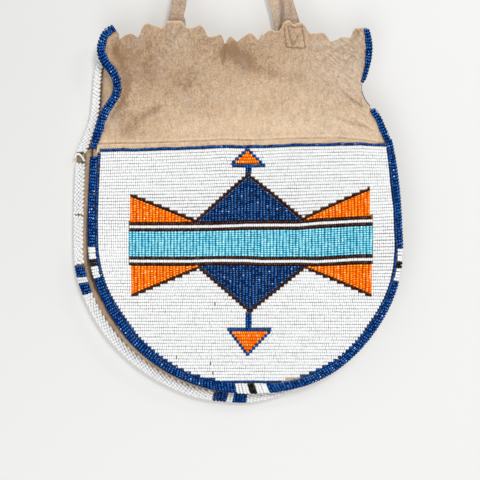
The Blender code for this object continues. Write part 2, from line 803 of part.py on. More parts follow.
def front_edging(lines, mount):
    line = lines[1]
    length = line_length(line)
    centres = (
        FRONT_BLOCK_FROM_FOLD,
        length / 2 + FRONT_BLOCK_ASIDE,
        length - FRONT_BLOCK_FROM_FOLD,
    )
    sizes = (FRONT_BLOCK_PALE, FRONT_BLOCK_DARK, FRONT_BLOCK_PALE)
    colours = ("white_bead", "black_bead", "white_bead")
    start, end = LEFT_CORNER_GAP, length - RIGHT_CORNER_GAP
    runs = block_runs(start, end, centres, sizes, colours, "navy_bead")
    stack = HIDE + CLEARANCE + GUSSET_HIDE
    aside = (CLEARANCE + GUSSET_HIDE) / 2
    in_runs("front_edging", line, runs, lambda _, z: panel_y(z) + aside, stack, mount)


def back_edging(lines, mount):
    line = [*lines[0][:-1], *lines[1], *lines[2][1:]]
    side = line_length(lines[0])
    length = line_length(line)
    lower = line_length(lines[1])
    centres = (
        side + BACK_BLOCK_FROM_FOLD,
        side + lower / 2,
        side + lower - BACK_BLOCK_FROM_FOLD,
    )
    sizes = (BACK_BLOCK_BLUE, BACK_BLOCK_PALE, BACK_BLOCK_BLUE)
    colours = ("blue_bead", "white_bead", "blue_bead")
    runs = block_runs(0, length, centres, sizes, colours, "white_bead")
    stack = HIDE + CLEARANCE + GUSSET_HIDE
    middle = DEPTH / 2 - (CLEARANCE + GUSSET_HIDE) / 2
    in_runs("back_edging", line, runs, lambda x, z: middle, stack, mount)


def yoke_edging(lines, mount):
    for line, word in ((lines[0], "left"), (lines[2], "right")):
        length = line_length(line)
        low = YOKE_EDGING_GAP if word == "right" else 0
        high = length - (YOKE_EDGING_GAP if word == "left" else 0)
        edging(f"yoke_edging_{word}", cut_line(line, low, high), yoke_y, HIDE, "navy_bead", mount)


# Handles


def arch_line(half_span, rise):
    """A handle's middle line from its left axis to its right one, with the leg's lean, as
    (x, z, along x, along z). rise is to the top's inner face when the strap lies flat on a peg."""
    top = rise + STRAP_THICKNESS / 2
    cos, sin = math.cos(STRAP_LEAN), math.sin(STRAP_LEAN)
    radius = (top * sin - half_span * cos) / ((1 - sin) * sin - cos * cos)
    leg = (half_span - radius * cos) / sin
    line = [(-half_span - STRAP_END * sin, -STRAP_END * cos, sin, cos)]
    for i in range(LEG_STEPS):
        run = leg * i / LEG_STEPS
        line.append((-half_span + run * sin, run * cos, sin, cos))
    centre = top - radius
    for i in range(ARCH_STEPS + 1):
        turn = math.pi - STRAP_LEAN - (math.pi - 2 * STRAP_LEAN) * i / ARCH_STEPS
        c, s = math.cos(turn), math.sin(turn)
        line.append((radius * c, centre + radius * s, s, -c))
    left = line[: LEG_STEPS + 1]
    return line + [(-x, z, a, -b) for x, z, a, b in reversed(left)]


def strap_section():
    """A folded strap's outline: flat faces and rounded edges, as shares of width and thickness."""
    half = [(w * STRAP_WIDTH / 2, t * STRAP_THICKNESS / 2) for w, t in STRAP_EDGE_SHARES]
    return half + [(-w, -t) for w, t in half]


def handle(name, half_span, rise, mount):
    """One strap. Its broad face looks forward at the feet and lies on the peg at the top."""
    line = arch_line(half_span, rise)
    axis = mount[1]
    total = line_length(line)
    low, high = TWIST_SHARES
    rings, run = [], 0
    for i, (x, z, ax, az) in enumerate(line):
        run += math.dist(line[i - 1][:2], (x, z)) if i else 0
        share = min(run, total - run) / (total / 2)
        ease = min(max((share - low) / (high - low), 0), 1)
        turn = math.pi / 2 * ease * ease * (3 - 2 * ease)
        if run > total / 2:
            turn = math.pi - turn
        along = Vector((ax, 0, az))
        across = along.cross(Vector((0, 1, 0)))
        broad = across * math.cos(turn) + Vector((0, 1, 0)) * math.sin(turn)
        face = broad.cross(along)
        thin = STRAP_END_SHARE if i in (0, len(line) - 1) else 1
        centre = axis + Vector((x, 0, z))
        rings.append([centre + broad * w + face * t * thin for w, t in strap_section()])
    add_piece(name, rings_to_solid(rings), "hide", mount)


def foot(name, x, low, high, inner, mount):
    """The sewn-down end of a strap. inner is the hide face that it lies on, y of (x, z), and the
    direction away from that hide."""
    face, way = inner
    half = FOOT_WIDTH / 2
    outline = [(x - half, low), (x + half, low), (x + half, high), (x - half, high)]
    bm = sheet(
        [outline],
        lambda x, z: face(x, z) + way * (CLEARANCE + FOOT_THICKNESS),
        lambda x, z: face(x, z) + way * CLEARANCE,
        zs=grid(low, high, YOKE_CELL),
    )
    add_piece(name, bm, "hide_dark", mount)


def handle_axis_y(hide_face, way):
    return hide_face + way * (CLEARANCE + FOOT_THICKNESS / 2)


def build():
    clear_scene()
    bag = add_empty("bag_frame", (HANDLE_LEFT, 0, -FRONT_AXIS_Z - HANDLE_RISE))
    fold_place = Vector((0, -DEPTH / 2, SIDE_HEIGHT))
    fold = add_empty("yoke_fold_axis", fold_place, bag)
    front_foot_x = HANDLE_HALF_SPAN - HANDLE_LEFT
    front_face = yoke_y(front_foot_x, MOUTH_Z) + HIDE / 2
    front_place = Vector((-HANDLE_LEFT, handle_axis_y(front_face, 1), FRONT_AXIS_Z))
    rear_face = DEPTH / 2 - HIDE / 2
    rear_place = Vector((-REAR_HANDLE_LEFT, handle_axis_y(rear_face, -1), REAR_AXIS_Z))
    front_axis = add_empty("front_handle_axis", front_place - fold_place, fold)
    rear_axis = add_empty("rear_handle_axis", rear_place, bag)
    on_bag = (bag, Vector((0, 0, 0)))
    on_fold = (fold, fold_place)

    front = edge_lines(FRONT_LEFT_SHARES, FRONT_RIGHT_SHARES)
    back = edge_lines(BACK_LEFT_SHARES, FRONT_RIGHT_SHARES, BACK_LEFT, BACK_LOW)
    front_foundation(on_bag)
    back_hide(back, on_bag)
    gusset(front, back, on_bag)
    front_yoke(front, on_fold)

    white_ground(on_bag)
    border_row(on_bag)
    centre_band(on_bag)
    for up in (1, -1):
        motif_half(up, on_bag)

    front_edging(front, on_bag)
    back_edging(back, on_bag)
    yoke_edging(front, on_fold)

    rear_rise = HANDLE_RISE + FRONT_AXIS_Z - REAR_AXIS_Z
    handle("front_handle", HANDLE_HALF_SPAN, HANDLE_RISE, (front_axis, front_place))
    handle("rear_handle", REAR_HALF_SPAN, rear_rise, (rear_axis, rear_place))
    for side, word in ((-1, "left"), (1, "right")):
        foot(
            f"front_handle_foot_{word}",
            side * HANDLE_HALF_SPAN - HANDLE_LEFT,
            MOUTH_Z - FOOT_DOWN,
            FRONT_AXIS_Z - FOOT_TO_AXIS,
            (lambda x, z: yoke_y(x, z) + HIDE / 2, 1),
            on_fold,
        )
        foot(
            f"rear_handle_foot_{word}",
            side * REAR_HALF_SPAN - REAR_HANDLE_LEFT,
            MOUTH_Z - BACK_LOW - FOOT_DOWN,
            REAR_AXIS_Z - FOOT_TO_AXIS,
            (lambda x, z: DEPTH / 2 - HIDE / 2, -1),
            on_bag,
        )


build()
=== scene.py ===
import math
import random

import bmesh
import bpy
import numpy as np
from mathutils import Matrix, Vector


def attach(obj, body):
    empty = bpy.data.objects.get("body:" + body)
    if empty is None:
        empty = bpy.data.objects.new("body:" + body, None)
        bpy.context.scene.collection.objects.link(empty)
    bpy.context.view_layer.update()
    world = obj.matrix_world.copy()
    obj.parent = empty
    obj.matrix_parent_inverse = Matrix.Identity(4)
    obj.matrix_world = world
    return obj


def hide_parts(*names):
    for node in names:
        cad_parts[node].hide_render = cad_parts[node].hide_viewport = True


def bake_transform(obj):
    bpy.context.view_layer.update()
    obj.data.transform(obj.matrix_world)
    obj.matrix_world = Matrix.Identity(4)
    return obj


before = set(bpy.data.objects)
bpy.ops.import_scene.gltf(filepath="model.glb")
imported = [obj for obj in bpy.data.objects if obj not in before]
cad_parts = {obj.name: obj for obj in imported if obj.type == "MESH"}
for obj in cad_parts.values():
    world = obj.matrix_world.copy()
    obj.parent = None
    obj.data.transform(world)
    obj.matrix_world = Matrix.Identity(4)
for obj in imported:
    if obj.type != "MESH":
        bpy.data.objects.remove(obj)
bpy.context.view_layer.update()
print("frame loaded,", len(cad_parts), "nodes")

mm = 0.001
bagOrigin = np.array((7.4, 0.0, -233.0))  # the round bottom's middle, from the peg
photoScale = 0.66  # to one pixel of the photograph at the front
backScale = 0.672  # and at the back hide, a little farther from the lens
dice = random.Random(31)

outline = {
    "radius": 100.0,
    "fold": 65.7,  # height of the seam between beaded panel and yoke
    "leftLean": 1.8,
    "rightLean": 6.3,
    "mouth": 141.0,
    "depth": 16.0,
    "belly": 4.5,
    "backLeft": 12.0,
    "backLow": 6.0,
    "hide": 1.2,
    "bite": 0.8,  # the hides reach this far past the middle of their edging
}


# ---- small sums
def fromTable(x, table):
    # the value at x, between the rows of a table
    return np.interp(x, [row[0] for row in table], [row[1] for row in table])


def eased(share):
    return share * share * (3 - 2 * share)


def smoothed(values):
    # each value with the ten on both sides of it
    return np.convolve(np.pad(values, 10, mode="edge"), np.ones(21) / 21, "valid")


def hump(value, centre, width):
    # 1 at the centre, and soon nothing on both sides of it
    return np.exp(-(((value - centre) / width) ** 2))


def spot(px, py, cx, cy, rx, ry):
    return np.exp(-(((px - cx) / rx) ** 2) - ((py - cy) / ry) ** 2)


# ---- node trees written as sums
class Wire:
    # a socket that takes part in sums: 1 - mask * 2 adds the Math nodes
    def __init__(self, nodes, socket):
        self.nodes = nodes
        self.socket = socket

    def __add__(self, other):
        return self.nodes.maths("ADD", self, other)

    def __radd__(self, other):
        return self.nodes.maths("ADD", other, self)

    def __sub__(self, other):
        return self.nodes.maths("SUBTRACT", self, other)

    def __rsub__(self, other):
        return self.nodes.maths("SUBTRACT", other, self)

    def __mul__(self, other):
        return self.nodes.maths("MULTIPLY", self, other)

    def __rmul__(self, other):
        return self.nodes.maths("MULTIPLY", other, self)

    def __truediv__(self, other):
        return self.nodes.maths("DIVIDE", self, other)

    def __rtruediv__(self, other):
        return self.nodes.maths("DIVIDE", other, self)

    def __pow__(self, other):
        return self.nodes.maths("POWER", self, other)

    def __abs__(self):
        return self.nodes.maths("ABSOLUTE", self)

    def clamped(self):
        made = self.nodes.maths("ADD", self, 0.0)
        made.socket.node.use_clamp = True
        return made


class Nodes:
    def __init__(self, tree):
        self.tree = tree

    def add(self, kind, settings=None, sockets=None, out=0):
        node = self.tree.nodes.new(kind)
        for name, value in (settings or {}).items():
            if name == "stops":
                self.setStops(node.color_ramp, value)
            else:
                setattr(node, name, value)
        for name, value in (sockets or {}).items():
            self.join(value, node.inputs[name])
        return Wire(self, node.outputs[out]) if len(node.outputs) else None

    def setStops(self, ramp, stops):
        first, last = ramp.elements[0], ramp.elements[1]
        for element, (place, colour) in ((first, stops[0]), (last, stops[-1])):
            element.position = place
            element.color = (*colour, 1)
        for place, colour in stops[1:-1]:
            ramp.elements.new(place).color = (*colour, 1)

    def join(self, value, socket):
        if isinstance(value, Wire):
            self.tree.links.new(value.socket, socket)
        elif socket.type == "RGBA" and len(value) == 3:
            socket.default_value = (*value, 1)
        else:
            socket.default_value = value

    def maths(self, operation, *values):
        return self.add("ShaderNodeMath", {"operation": operation}, dict(enumerate(values)))

    def mix(self, share, one, other, blend="MIX"):
        settings = {"data_type": "RGBA", "blend_type": blend}
        return self.add("ShaderNodeMix", settings, {0: share, 6: one, 7: other}, 2)

    def noise(self, vector, scale, detail=3.0, roughness=0.5, distortion=0.0):
        sockets = {"Vector": vector, "Scale": scale, "Detail": detail,
                   "Roughness": roughness, "Distortion": distortion}
        return self.add("ShaderNodeTexNoise", {}, sockets)

    def attribute(self, name):
        return self.add("ShaderNodeAttribute", {"attribute_name": name}, out=2)

    def stretched(self, vector, scale):
        return self.add("ShaderNodeMapping", {}, {"Vector": vector, "Scale": scale})


def newFinish(name):
    material = bpy.data.materials.new(name)
    material.use_nodes = True
    material.node_tree.nodes.clear()
    return material, Nodes(material.node_tree)


def closeFinish(nodes, shader):
    nodes.add("ShaderNodeOutputMaterial", {}, {"Surface": shader})


# ---- finishes
hideLook = {
    "pale": (0.81, 0.607, 0.408),
    "dark": (0.29, 0.175, 0.10),
    "grey": (0.50, 0.425, 0.36),
    "warm": (0.66, 0.42, 0.235),
    "roughness": 0.86,
    "patchSize": 26.0,
    "crackleSize": 3.6,
    "napSize": 0.95,
    "brushSize": 1.6,
    "veinSize": 5.5,
    "wrinkleSize": 1.3,
}
strapLook = {**hideLook, "pale": (0.76, 0.59, 0.445), "dark": (0.27, 0.175, 0.115)}
# the gusset's dark end is near black, for its painted shadow beside the front edging
gussetLook = {**hideLook, "pale": (0.70, 0.49, 0.315), "dark": (0.07, 0.04, 0.025)}


def hideFinish(name, tone, spread, look=hideLook):
    material, n = newFinish(name)
    place = n.add("ShaderNodeTexCoord", out=3)

    def grain(size, *roughly, vector=place):
        return n.noise(vector, 1000 / look[size], *roughly)

    patches = grain("patchSize", 4, 0.55, 0.4)
    crackle = grain("crackleSize", 5, 0.62, 0.8)
    nap = grain("napSize", 3, 0.7)
    brushed = grain("brushSize", 4, 0.65, vector=n.stretched(place, (1, 1, 0.3)))
    veins = (1 - abs(grain("veinSize", 4, 0.6, 1.2) - 0.5) * 14.0).clamped()
    worn = n.attribute("worn")
    slant = {"Vector": place, "Rotation": (0, math.radians(38), 0), "Scale": (6, 1, 1)}
    slanted = n.add("ShaderNodeMapping", {"vector_type": "TEXTURE"}, slant)
    wrinkles = grain("wrinkleSize", 3, 0.6, 0.6, vector=slanted)
    painted = n.attribute("tone")
    level = tone + painted + (patches - 0.5) * spread + (crackle - 0.5) * 0.45
    level = level + (nap - 0.5) * 1.3 + (brushed - 0.5) * 0.6 - veins * 0.16
    level = level + (wrinkles - 0.5) * worn * 1.5
    colour = n.mix(level.clamped(), look["dark"], look["pale"])
    warm = ((n.noise(place, 1000 / 8.0, 4, 0.6) - 0.5) * 5.0).clamped()
    cool = ((n.noise(place, 1000 / 11.0, 4, 0.6, 0.5) - 0.5) * 5.0).clamped()
    colour = n.mix(warm * 0.2, colour, look["warm"])
    greyed = n.mix(cool * 0.30, colour, look["grey"])
    rubbed = n.mix(level.clamped(), (0.36, 0.27, 0.20), (0.74, 0.60, 0.48))
    greyed = n.mix((worn * 0.6).clamped(), greyed, rubbed)
    rust = n.attribute("rust")
    greyed = n.mix((rust * (crackle + 0.3)).clamped(), greyed, (0.27, 0.145, 0.07))
    rim = n.attribute("rim")
    colour = n.mix((rim * 0.75).clamped(), greyed, (0.80, 0.63, 0.46))
    rough = (crackle * 0.14 + (look["roughness"] - 0.07)).clamped()
    height = crackle * 0.55 + nap * 0.5 + brushed * 0.4 + wrinkles * worn * 1.2
    bump = n.add("ShaderNodeBump", {}, {"Strength": 0.8, "Distance": 0.0006, "Height": height})
    shader = n.add("ShaderNodeBsdfPrincipled", {}, {
        "Base Color": colour, "Roughness": rough, "Normal": bump,
        "Specular IOR Level": 0.25, "Sheen Weight": 0.12, "Sheen Roughness": 0.5,
    })
    closeFinish(n, shader)
    return material


# deep and light are the ends that each bead's painted shade runs between, from its sides to its crest,
# together with random shade from bead to bead; glint and flash are the colours of painted highlights
beadLooks = {
    "white": {"deep": (0.85, 0.86, 0.86), "light": (0.985, 0.985, 0.98), "roughness": 0.25,
              "glint": (1.0, 1.0, 1.0)},
    "blue": {"deep": (0.0, 0.006, 0.05), "light": (0.003, 0.085, 0.40), "roughness": 0.24,
             "glint": (0.12, 0.42, 0.90), "paintedFlash": (0.85, 0.9, 1.0)},
    "navy": {"deep": (0.0, 0.005, 0.045), "light": (0.009, 0.105, 0.37), "roughness": 0.24,
             "glint": (0.22, 0.48, 1.0), "paintedFlash": (0.92, 0.94, 1.0)},
    "orange": {"deep": (0.93, 0.12, 0.0), "light": (1.0, 0.34, 0.0), "roughness": 0.3,
               "glint": (1.0, 0.78, 0.22), "paintedFlash": (1.0, 0.90, 0.60), "paintedFlashFrom": 0.90},
    "turquoise": {"deep": (0.02, 0.40, 0.62), "light": (0.42, 1.0, 1.0), "roughness": 0.3,
                  "glint": (0.95, 1.0, 1.0), "paintedFlashFrom": 0.95, "uneven": 0.28},
    "brown": {"deep": (0.012, 0.003, 0.002), "light": (0.075, 0.02, 0.013), "roughness": 0.3,
              "glint": (0.22, 0.12, 0.09)},
    "black": {"deep": (0.003, 0.003, 0.003), "light": (0.018, 0.018, 0.02), "roughness": 0.2,
              "glint": (0.10, 0.10, 0.11)},
    "green": {"deep": (0.01, 0.10, 0.04), "light": (0.03, 0.24, 0.10), "roughness": 0.2,
              "glint": (0.3, 0.6, 0.4)},
}


def beadFinish(colour):
    look = beadLooks[colour]
    material, n = newFinish(colour + "Beads")
    place = n.add("ShaderNodeTexCoord", out=3)
    cloud = n.noise(place, 1600, 2, 0.5)
    grime = n.noise(place, 60, 3, 0.6)
    shade = n.attribute("shade")
    # each bead's crest is painted paler than its sides by which way it faces (painted shade), and some
    # beads get a painted glint or a painted flash of light; the coat follows the same facing
    facing = n.add("ShaderNodeTexCoord", out=1)
    parts = n.add("ShaderNodeSeparateXYZ", {}, {0: facing}).socket.node.outputs
    across, deep, up = (Wire(n, part) for part in parts)
    # painted shade: the bead is darker where it faces away from the front
    paintedCrestShade = abs(deep) ** 4.0
    level = paintedCrestShade * 0.95 + (shade - 0.5) * look.get("uneven", 0.4)
    level = level + (cloud - 0.5) * 0.3 + (grime - 0.5) * 0.3
    base = n.mix(level.clamped(), look["deep"], look["light"])
    # painted glint: the part of a bead facing up and to the right is painted in the glint colour
    paintedGlintMask = ((across * 0.30 - deep * 0.86 + up * 0.42 - 0.94) * 30.0).clamped()
    base = n.mix(paintedGlintMask * ((shade - 0.15) * 3.0).clamped() * 0.9, base, look["glint"])
    # painted flash: a few beads get a paler painted highlight on the crest
    paintedFlashMask = ((shade - look.get("paintedFlashFrom", 0.965)) * 60.0).clamped()
    paintedFlashMask = paintedFlashMask * ((paintedCrestShade - 0.6) * 4.0).clamped()
    base = n.mix(paintedFlashMask * 0.7, base, look.get("paintedFlash", look["glint"]))
    rough = (cloud * 0.16 + (look["roughness"] - 0.05)).clamped()
    shader = n.add("ShaderNodeBsdfPrincipled", {}, {
        "Base Color": base, "Roughness": rough, "Specular IOR Level": 0.0,
        "Coat Weight": (paintedCrestShade * 0.28).clamped(), "Coat Roughness": 0.06,
    })
    closeFinish(n, shader)
    return material


def threadFinish():
    material, n = newFinish("sinewThread")
    place = n.add("ShaderNodeTexCoord", out=3)
    fibre = n.noise(n.stretched(place, (1, 1, 0.3)), 3000, 3, 0.6)
    colour = n.mix(fibre, (0.22, 0.14, 0.085), (0.42, 0.29, 0.19))
    bump = n.add("ShaderNodeBump", {}, {"Strength": 0.4, "Distance": 0.0001, "Height": fibre})
    shader = n.add("ShaderNodeBsdfPrincipled", {}, {
        "Base Color": colour, "Roughness": 0.8, "Normal": bump})
    closeFinish(n, shader)
    return material


finishes = {colour: beadFinish(colour) for colour in beadLooks}
finishes["hide"] = hideFinish("nappedHide", 0.0, 0.30)
finishes["gusset"] = hideFinish("gussetHide", 0.0, 0.34, gussetLook)
finishes["strap"] = hideFinish("strapHide", 0.0, 0.30, strapLook)
finishes["thread"] = threadFinish()
print("finishes ready")


# ---- surfaces and edge lines
def bellyY(z):
    reach = (outline["fold"] + outline["radius"]) / 2
    along = (z - (outline["fold"] - outline["radius"]) / 2) / reach
    return -outline["depth"] / 2 - outline["belly"] * np.maximum(0, 1 - along * along)


def yokeY(x, z):
    rise = np.clip((z - outline["fold"]) / (outline["mouth"] - outline["fold"]), 0, 1)
    slack = 0.5 - 0.5 * np.cos(2 * math.pi * (x + 7.4) / 94.0)
    return -outline["depth"] / 2 - 1.8 * rise * slack


def frontY(x, z):
    return np.where(z < outline["fold"], bellyY(z), yokeY(x, z))


sway = (
    # height, then places across and how far the sewing wanders there
    (-40.0, (0,), (0,)),
    (-13.4, (-76, -36, -24, -12, 0, 12, 35, 47, 60, 72),
     (0.25, 0.05, 0.4, 0.45, 0.3, -0.35, -0.4, -0.8, -0.25, 0.35)),
    (10.8, (-76, -36, -20, 0, 12, 24, 35, 47, 60, 72),
     (-0.4, -0.45, -0.5, -0.05, -0.15, -0.45, -0.75, 0.1, 0.35, 0.6)),
    (34.0, (0,), (0,)),
    (61.5, (-93, -80, -67, -40, -27, -14, 0, 12, 26, 52, 78, 92),
     (0, -0.15, -0.7, -0.6, -0.7, 0, -0.9, -0.9, -0.35, 0, 0.3, -0.5)),
)


def lift(x, z):
    # the rows climb to the right, more so towards the top
    share = eased(np.clip((z + 35.0) / 60.0, 0, 1))
    bow = np.interp(z, (-60.0, -35.0, -12.0, 5.0, 13.0, 30.0, 61.0),
                    (0.0, 0.0, -0.35, -0.9, -1.0, -0.4, 1.1))
    level = np.interp(z, (-35.0, 10.0, 30.0, 61.0), (0.0, -0.15, -0.1, -0.45))
    wander = np.zeros(np.broadcast(x, z).shape)
    for (low, xs, moves), (high, nextXs, nextMoves) in zip(sway, sway[1:]):
        part = np.clip((z - low) / (high - low), 0, 1)
        inside = (z >= low) & (z < high)
        between = np.interp(x, xs, moves) * (1 - part) + np.interp(x, nextXs, nextMoves) * part
        wander = wander + np.where(inside, between, 0)
    top, xs, moves = sway[-1]
    wander = wander + np.where(z >= top, np.interp(x, xs, moves), 0)
    return share * 0.021 * x + level + bow * (1 - (x / 88.0) ** 2) + wander


def smoothCurve(points, spacing=0.5):
    # the smooth curve through some points, as evenly spaced stations
    p = np.array([points[0], *points, points[-1]], float)
    fine = []
    for k in range(len(points) - 1):
        a, b, c, d = p[k : k + 4]
        for t in np.linspace(0, 1, 24, endpoint=False):
            fine.append(
                b + 0.5 * t * (c - a) + t * t * (a - 2.5 * b + 2 * c - 0.5 * d)
                + t**3 * (1.5 * b - 1.5 * c + 0.5 * d - 0.5 * a)
            )
    fine.append(p[-1])
    return evenly(np.array(fine), spacing)


def lengthsAlong(points):
    steps = np.linalg.norm(np.diff(points, axis=0), axis=1)
    return np.concatenate(([0], np.cumsum(steps)))


def evenly(points, spacing):
    along = lengthsAlong(points)
    count = max(2, round(along[-1] / spacing) + 1)
    places = np.linspace(0, along[-1], count)
    return np.stack([np.interp(places, along, points[:, i]) for i in range(points.shape[1])], 1)


def withNormals(points, side):
    # each station gets the way out of the bag beside it: x, z, out x, out z
    along = np.gradient(points, axis=0)
    along /= np.linalg.norm(along, axis=1)[:, None]
    out = np.stack([along[:, 1], -along[:, 0]], 1) * side
    return np.concatenate([points, out], 1)


def leanRadius(lean):
    return (outline["fold"] ** 2 + lean**2) / (2 * lean)


def roundEdge():
    # the U from the seam on the left, round the bottom, to the seam on the right
    r = outline["radius"]
    left, right = leanRadius(outline["leftLean"]), leanRadius(outline["rightLean"])
    swingLeft, swingRight = math.asin(outline["fold"] / left), math.asin(outline["fold"] / right)
    arcs = (
        (left - r, left, math.pi - swingLeft, math.pi),
        (0.0, r, math.pi, 2 * math.pi),
        (r - right, right, 0.0, swingRight),
    )
    points = []
    for centre, radius, start, end in arcs:
        turns = np.linspace(start, end, 200)
        points.append(np.stack([centre + radius * np.cos(turns), radius * np.sin(turns)], 1))
    line = np.concatenate([points[0][:-1], points[1], points[2][1:]])
    return withNormals(evenly(line, 0.5), 1)


frontLeftSide = (
    (-98.2, 65.7), (-95.7, 75.9), (-92.1, 85.2), (-87.2, 92.4), (-84.4, 98.8), (-85.0, 105.6),
    (-88.0, 111.6), (-92.6, 117.7), (-94.8, 122.9), (-94.6, 129.7), (-91.4, 136.6), (-86.6, 139.6),
)
frontRightSide = (
    (93.5, 65.7), (90.1, 74.0), (86.7, 81.3), (82.2, 87.0), (78.2, 92.4), (76.1, 98.1),
    (76.4, 104.1), (79.2, 112.9), (81.2, 122.2), (81.2, 130.8), (79.5, 138.0), (79.0, 140.4),
)
backLeftSide = (
    (-98.2, 65.7), (-94.2, 75.5), (-90.5, 85.3), (-88.5, 95.8), (-87.8, 104.9), (-87.2, 112.4),
    (-86.3, 119.4), (-84.4, 127.0), (-81.8, 134.0), (-80.4, 140.0),
)


def warped(line, shifts):
    # a round line pushed in or out by place round the clock: degrees below the right, millimetres
    turns = np.degrees(np.arctan2(-line[:, 1], line[:, 0]))
    turns = np.where(turns < -90, turns + 360, turns)
    amount = smoothed(fromTable(turns, shifts))
    points = line[:, :2] + line[:, 2:] * amount[:, None]
    return withNormals(points, 1), turns


frontShifts = (
    (-40, 0.6), (-29, 0.9), (-14, 0.8), (-4, 0.8), (4, 1.5), (16, 2.3), (36, 2.1), (56, 2.5),
    (66, 1.9), (71, 0.9), (81, -0.4), (86, -0.9), (91, -1.2), (96, -1.4), (126, -1.4),
    (136, -1.0), (151, -1.3), (161, -0.5), (171, 0.2), (181, 0.7), (191, 1.0), (206, 0.9),
)
backShifts = (
    (55, 1.2), (68, 2.4), (80, 2.0), (90, 0.0), (101, -0.6), (115, -2.5), (131, -3.0),
    (144, -2.4), (157, -1.6), (170, 0.2), (180, 0.6), (205, 0.7),
)
roundLine = roundEdge()
sideLines = {
    "frontLeft": withNormals(smoothCurve(frontLeftSide), -1),
    "frontRight": withNormals(smoothCurve(frontRightSide), 1),
    "backLeft": withNormals(smoothCurve(backLeftSide), -1),
}
sideLines["backRight"] = sideLines["frontRight"].copy()
sideLines["backRight"][:, :2] -= (outline["backLeft"], outline["backLow"])
sideLines["backLeft"][:, :2] -= (outline["backLeft"], outline["backLow"])
backRound, _ = warped(roundLine, backShifts)
backRound[:, :2] -= (outline["backLeft"], outline["backLow"])
roundLine, roundTurns = warped(roundLine, frontShifts)


def movedOut(line, amount):
    return line[:, :2] + line[:, 2:] * amount


def traced(px, py):
    # a place in the photograph's frame, in the bag's own millimetres
    return ((px - 245) * photoScale, (240 - py) * photoScale)


def tracedBack(px, py):
    # the same for what lies at the back hide
    return ((px - 240) * backScale - 3.3, (240 - py) * backScale)


def inWorld(points):
    return (np.asarray(points, float) + bagOrigin) * mm


# ---- meshes
pieces = {}  # each finished piece, with the nodes that it replaces and its material slot


def keep(made, nodes, slot):
    pieces[made.name] = (made, nodes, slot)


def objectFrom(name, mesh):
    made = bpy.data.objects.new(name, mesh)
    bpy.context.scene.collection.objects.link(made)
    return made


def bakedMesh(source, name):
    # what the modifiers make, as a plain mesh in place of the source
    bpy.context.view_layer.update()
    graph = bpy.context.evaluated_depsgraph_get()
    mesh = bpy.data.meshes.new_from_object(source.evaluated_get(graph))
    mesh.name = name
    old = source.data
    source.modifiers.clear()
    bpy.data.objects.remove(source)
    bpy.data.meshes.remove(old)
    return objectFrom(name, mesh)


def gridFaces(rows, columns, closed=False):
    faces = []
    last = columns if closed else columns - 1
    for i in range(rows - 1):
        for j in range(last):
            k = (j + 1) % columns
            faces.append((i * columns + j, i * columns + k,
                          (i + 1) * columns + k, (i + 1) * columns + j))
    return faces


def paint(mesh, shares):
    # named values that the finish reads, one for each point
    for key, values in shares.items():
        attribute = mesh.attributes.new(key, "FLOAT", "POINT")
        attribute.data.foreach_set("value", np.asarray(values, np.float32).ravel())


def hideSheet(name, node, slot, grid, thickness, finish, shares, flip=False):
    # a sheet of hide over a grid of points, given its thickness about them
    rows, columns = grid.shape[:2]
    faces = gridFaces(rows, columns)
    if flip:
        faces = [face[::-1] for face in faces]
    mesh = bpy.data.meshes.new(name)
    mesh.from_pydata(inWorld(grid.reshape(-1, 3)).tolist(), [], faces)
    paint(mesh, shares)
    mesh.materials.append(finishes[finish])
    sheet = objectFrom(name, mesh)
    solidify = sheet.modifiers.new("thickness", "SOLIDIFY")
    solidify.thickness = thickness * mm
    solidify.offset = 0
    made = bakedMesh(sheet, name)
    made.data.shade_smooth()
    made.data.set_sharp_from_angle(angle=math.radians(50))
    keep(made, (node,), slot)


def tube(name, nodes, slot, rings, tone):
    # a closed body of strap hide through rings of as many points each
    count, sides = rings.shape[:2]
    faces = gridFaces(count, sides, True)
    faces.append(tuple(range(sides))[::-1])
    faces.append(tuple((count - 1) * sides + i for i in range(sides)))
    mesh = bpy.data.meshes.new(name)
    mesh.from_pydata(inWorld(rings.reshape(-1, 3)).tolist(), [], faces)
    paint(mesh, {"tone": tone})
    mesh.materials.append(finishes["strap"])
    mesh.shade_smooth()
    mesh.set_sharp_from_angle(angle=math.radians(60))
    made = objectFrom(name, mesh)
    outwards(made.data)
    keep(made, nodes, slot)


def outwards(mesh):
    bm = bmesh.new()
    bm.from_mesh(mesh)
    bmesh.ops.recalc_face_normals(bm, faces=bm.faces[:])
    bm.to_mesh(mesh)
    bm.free()


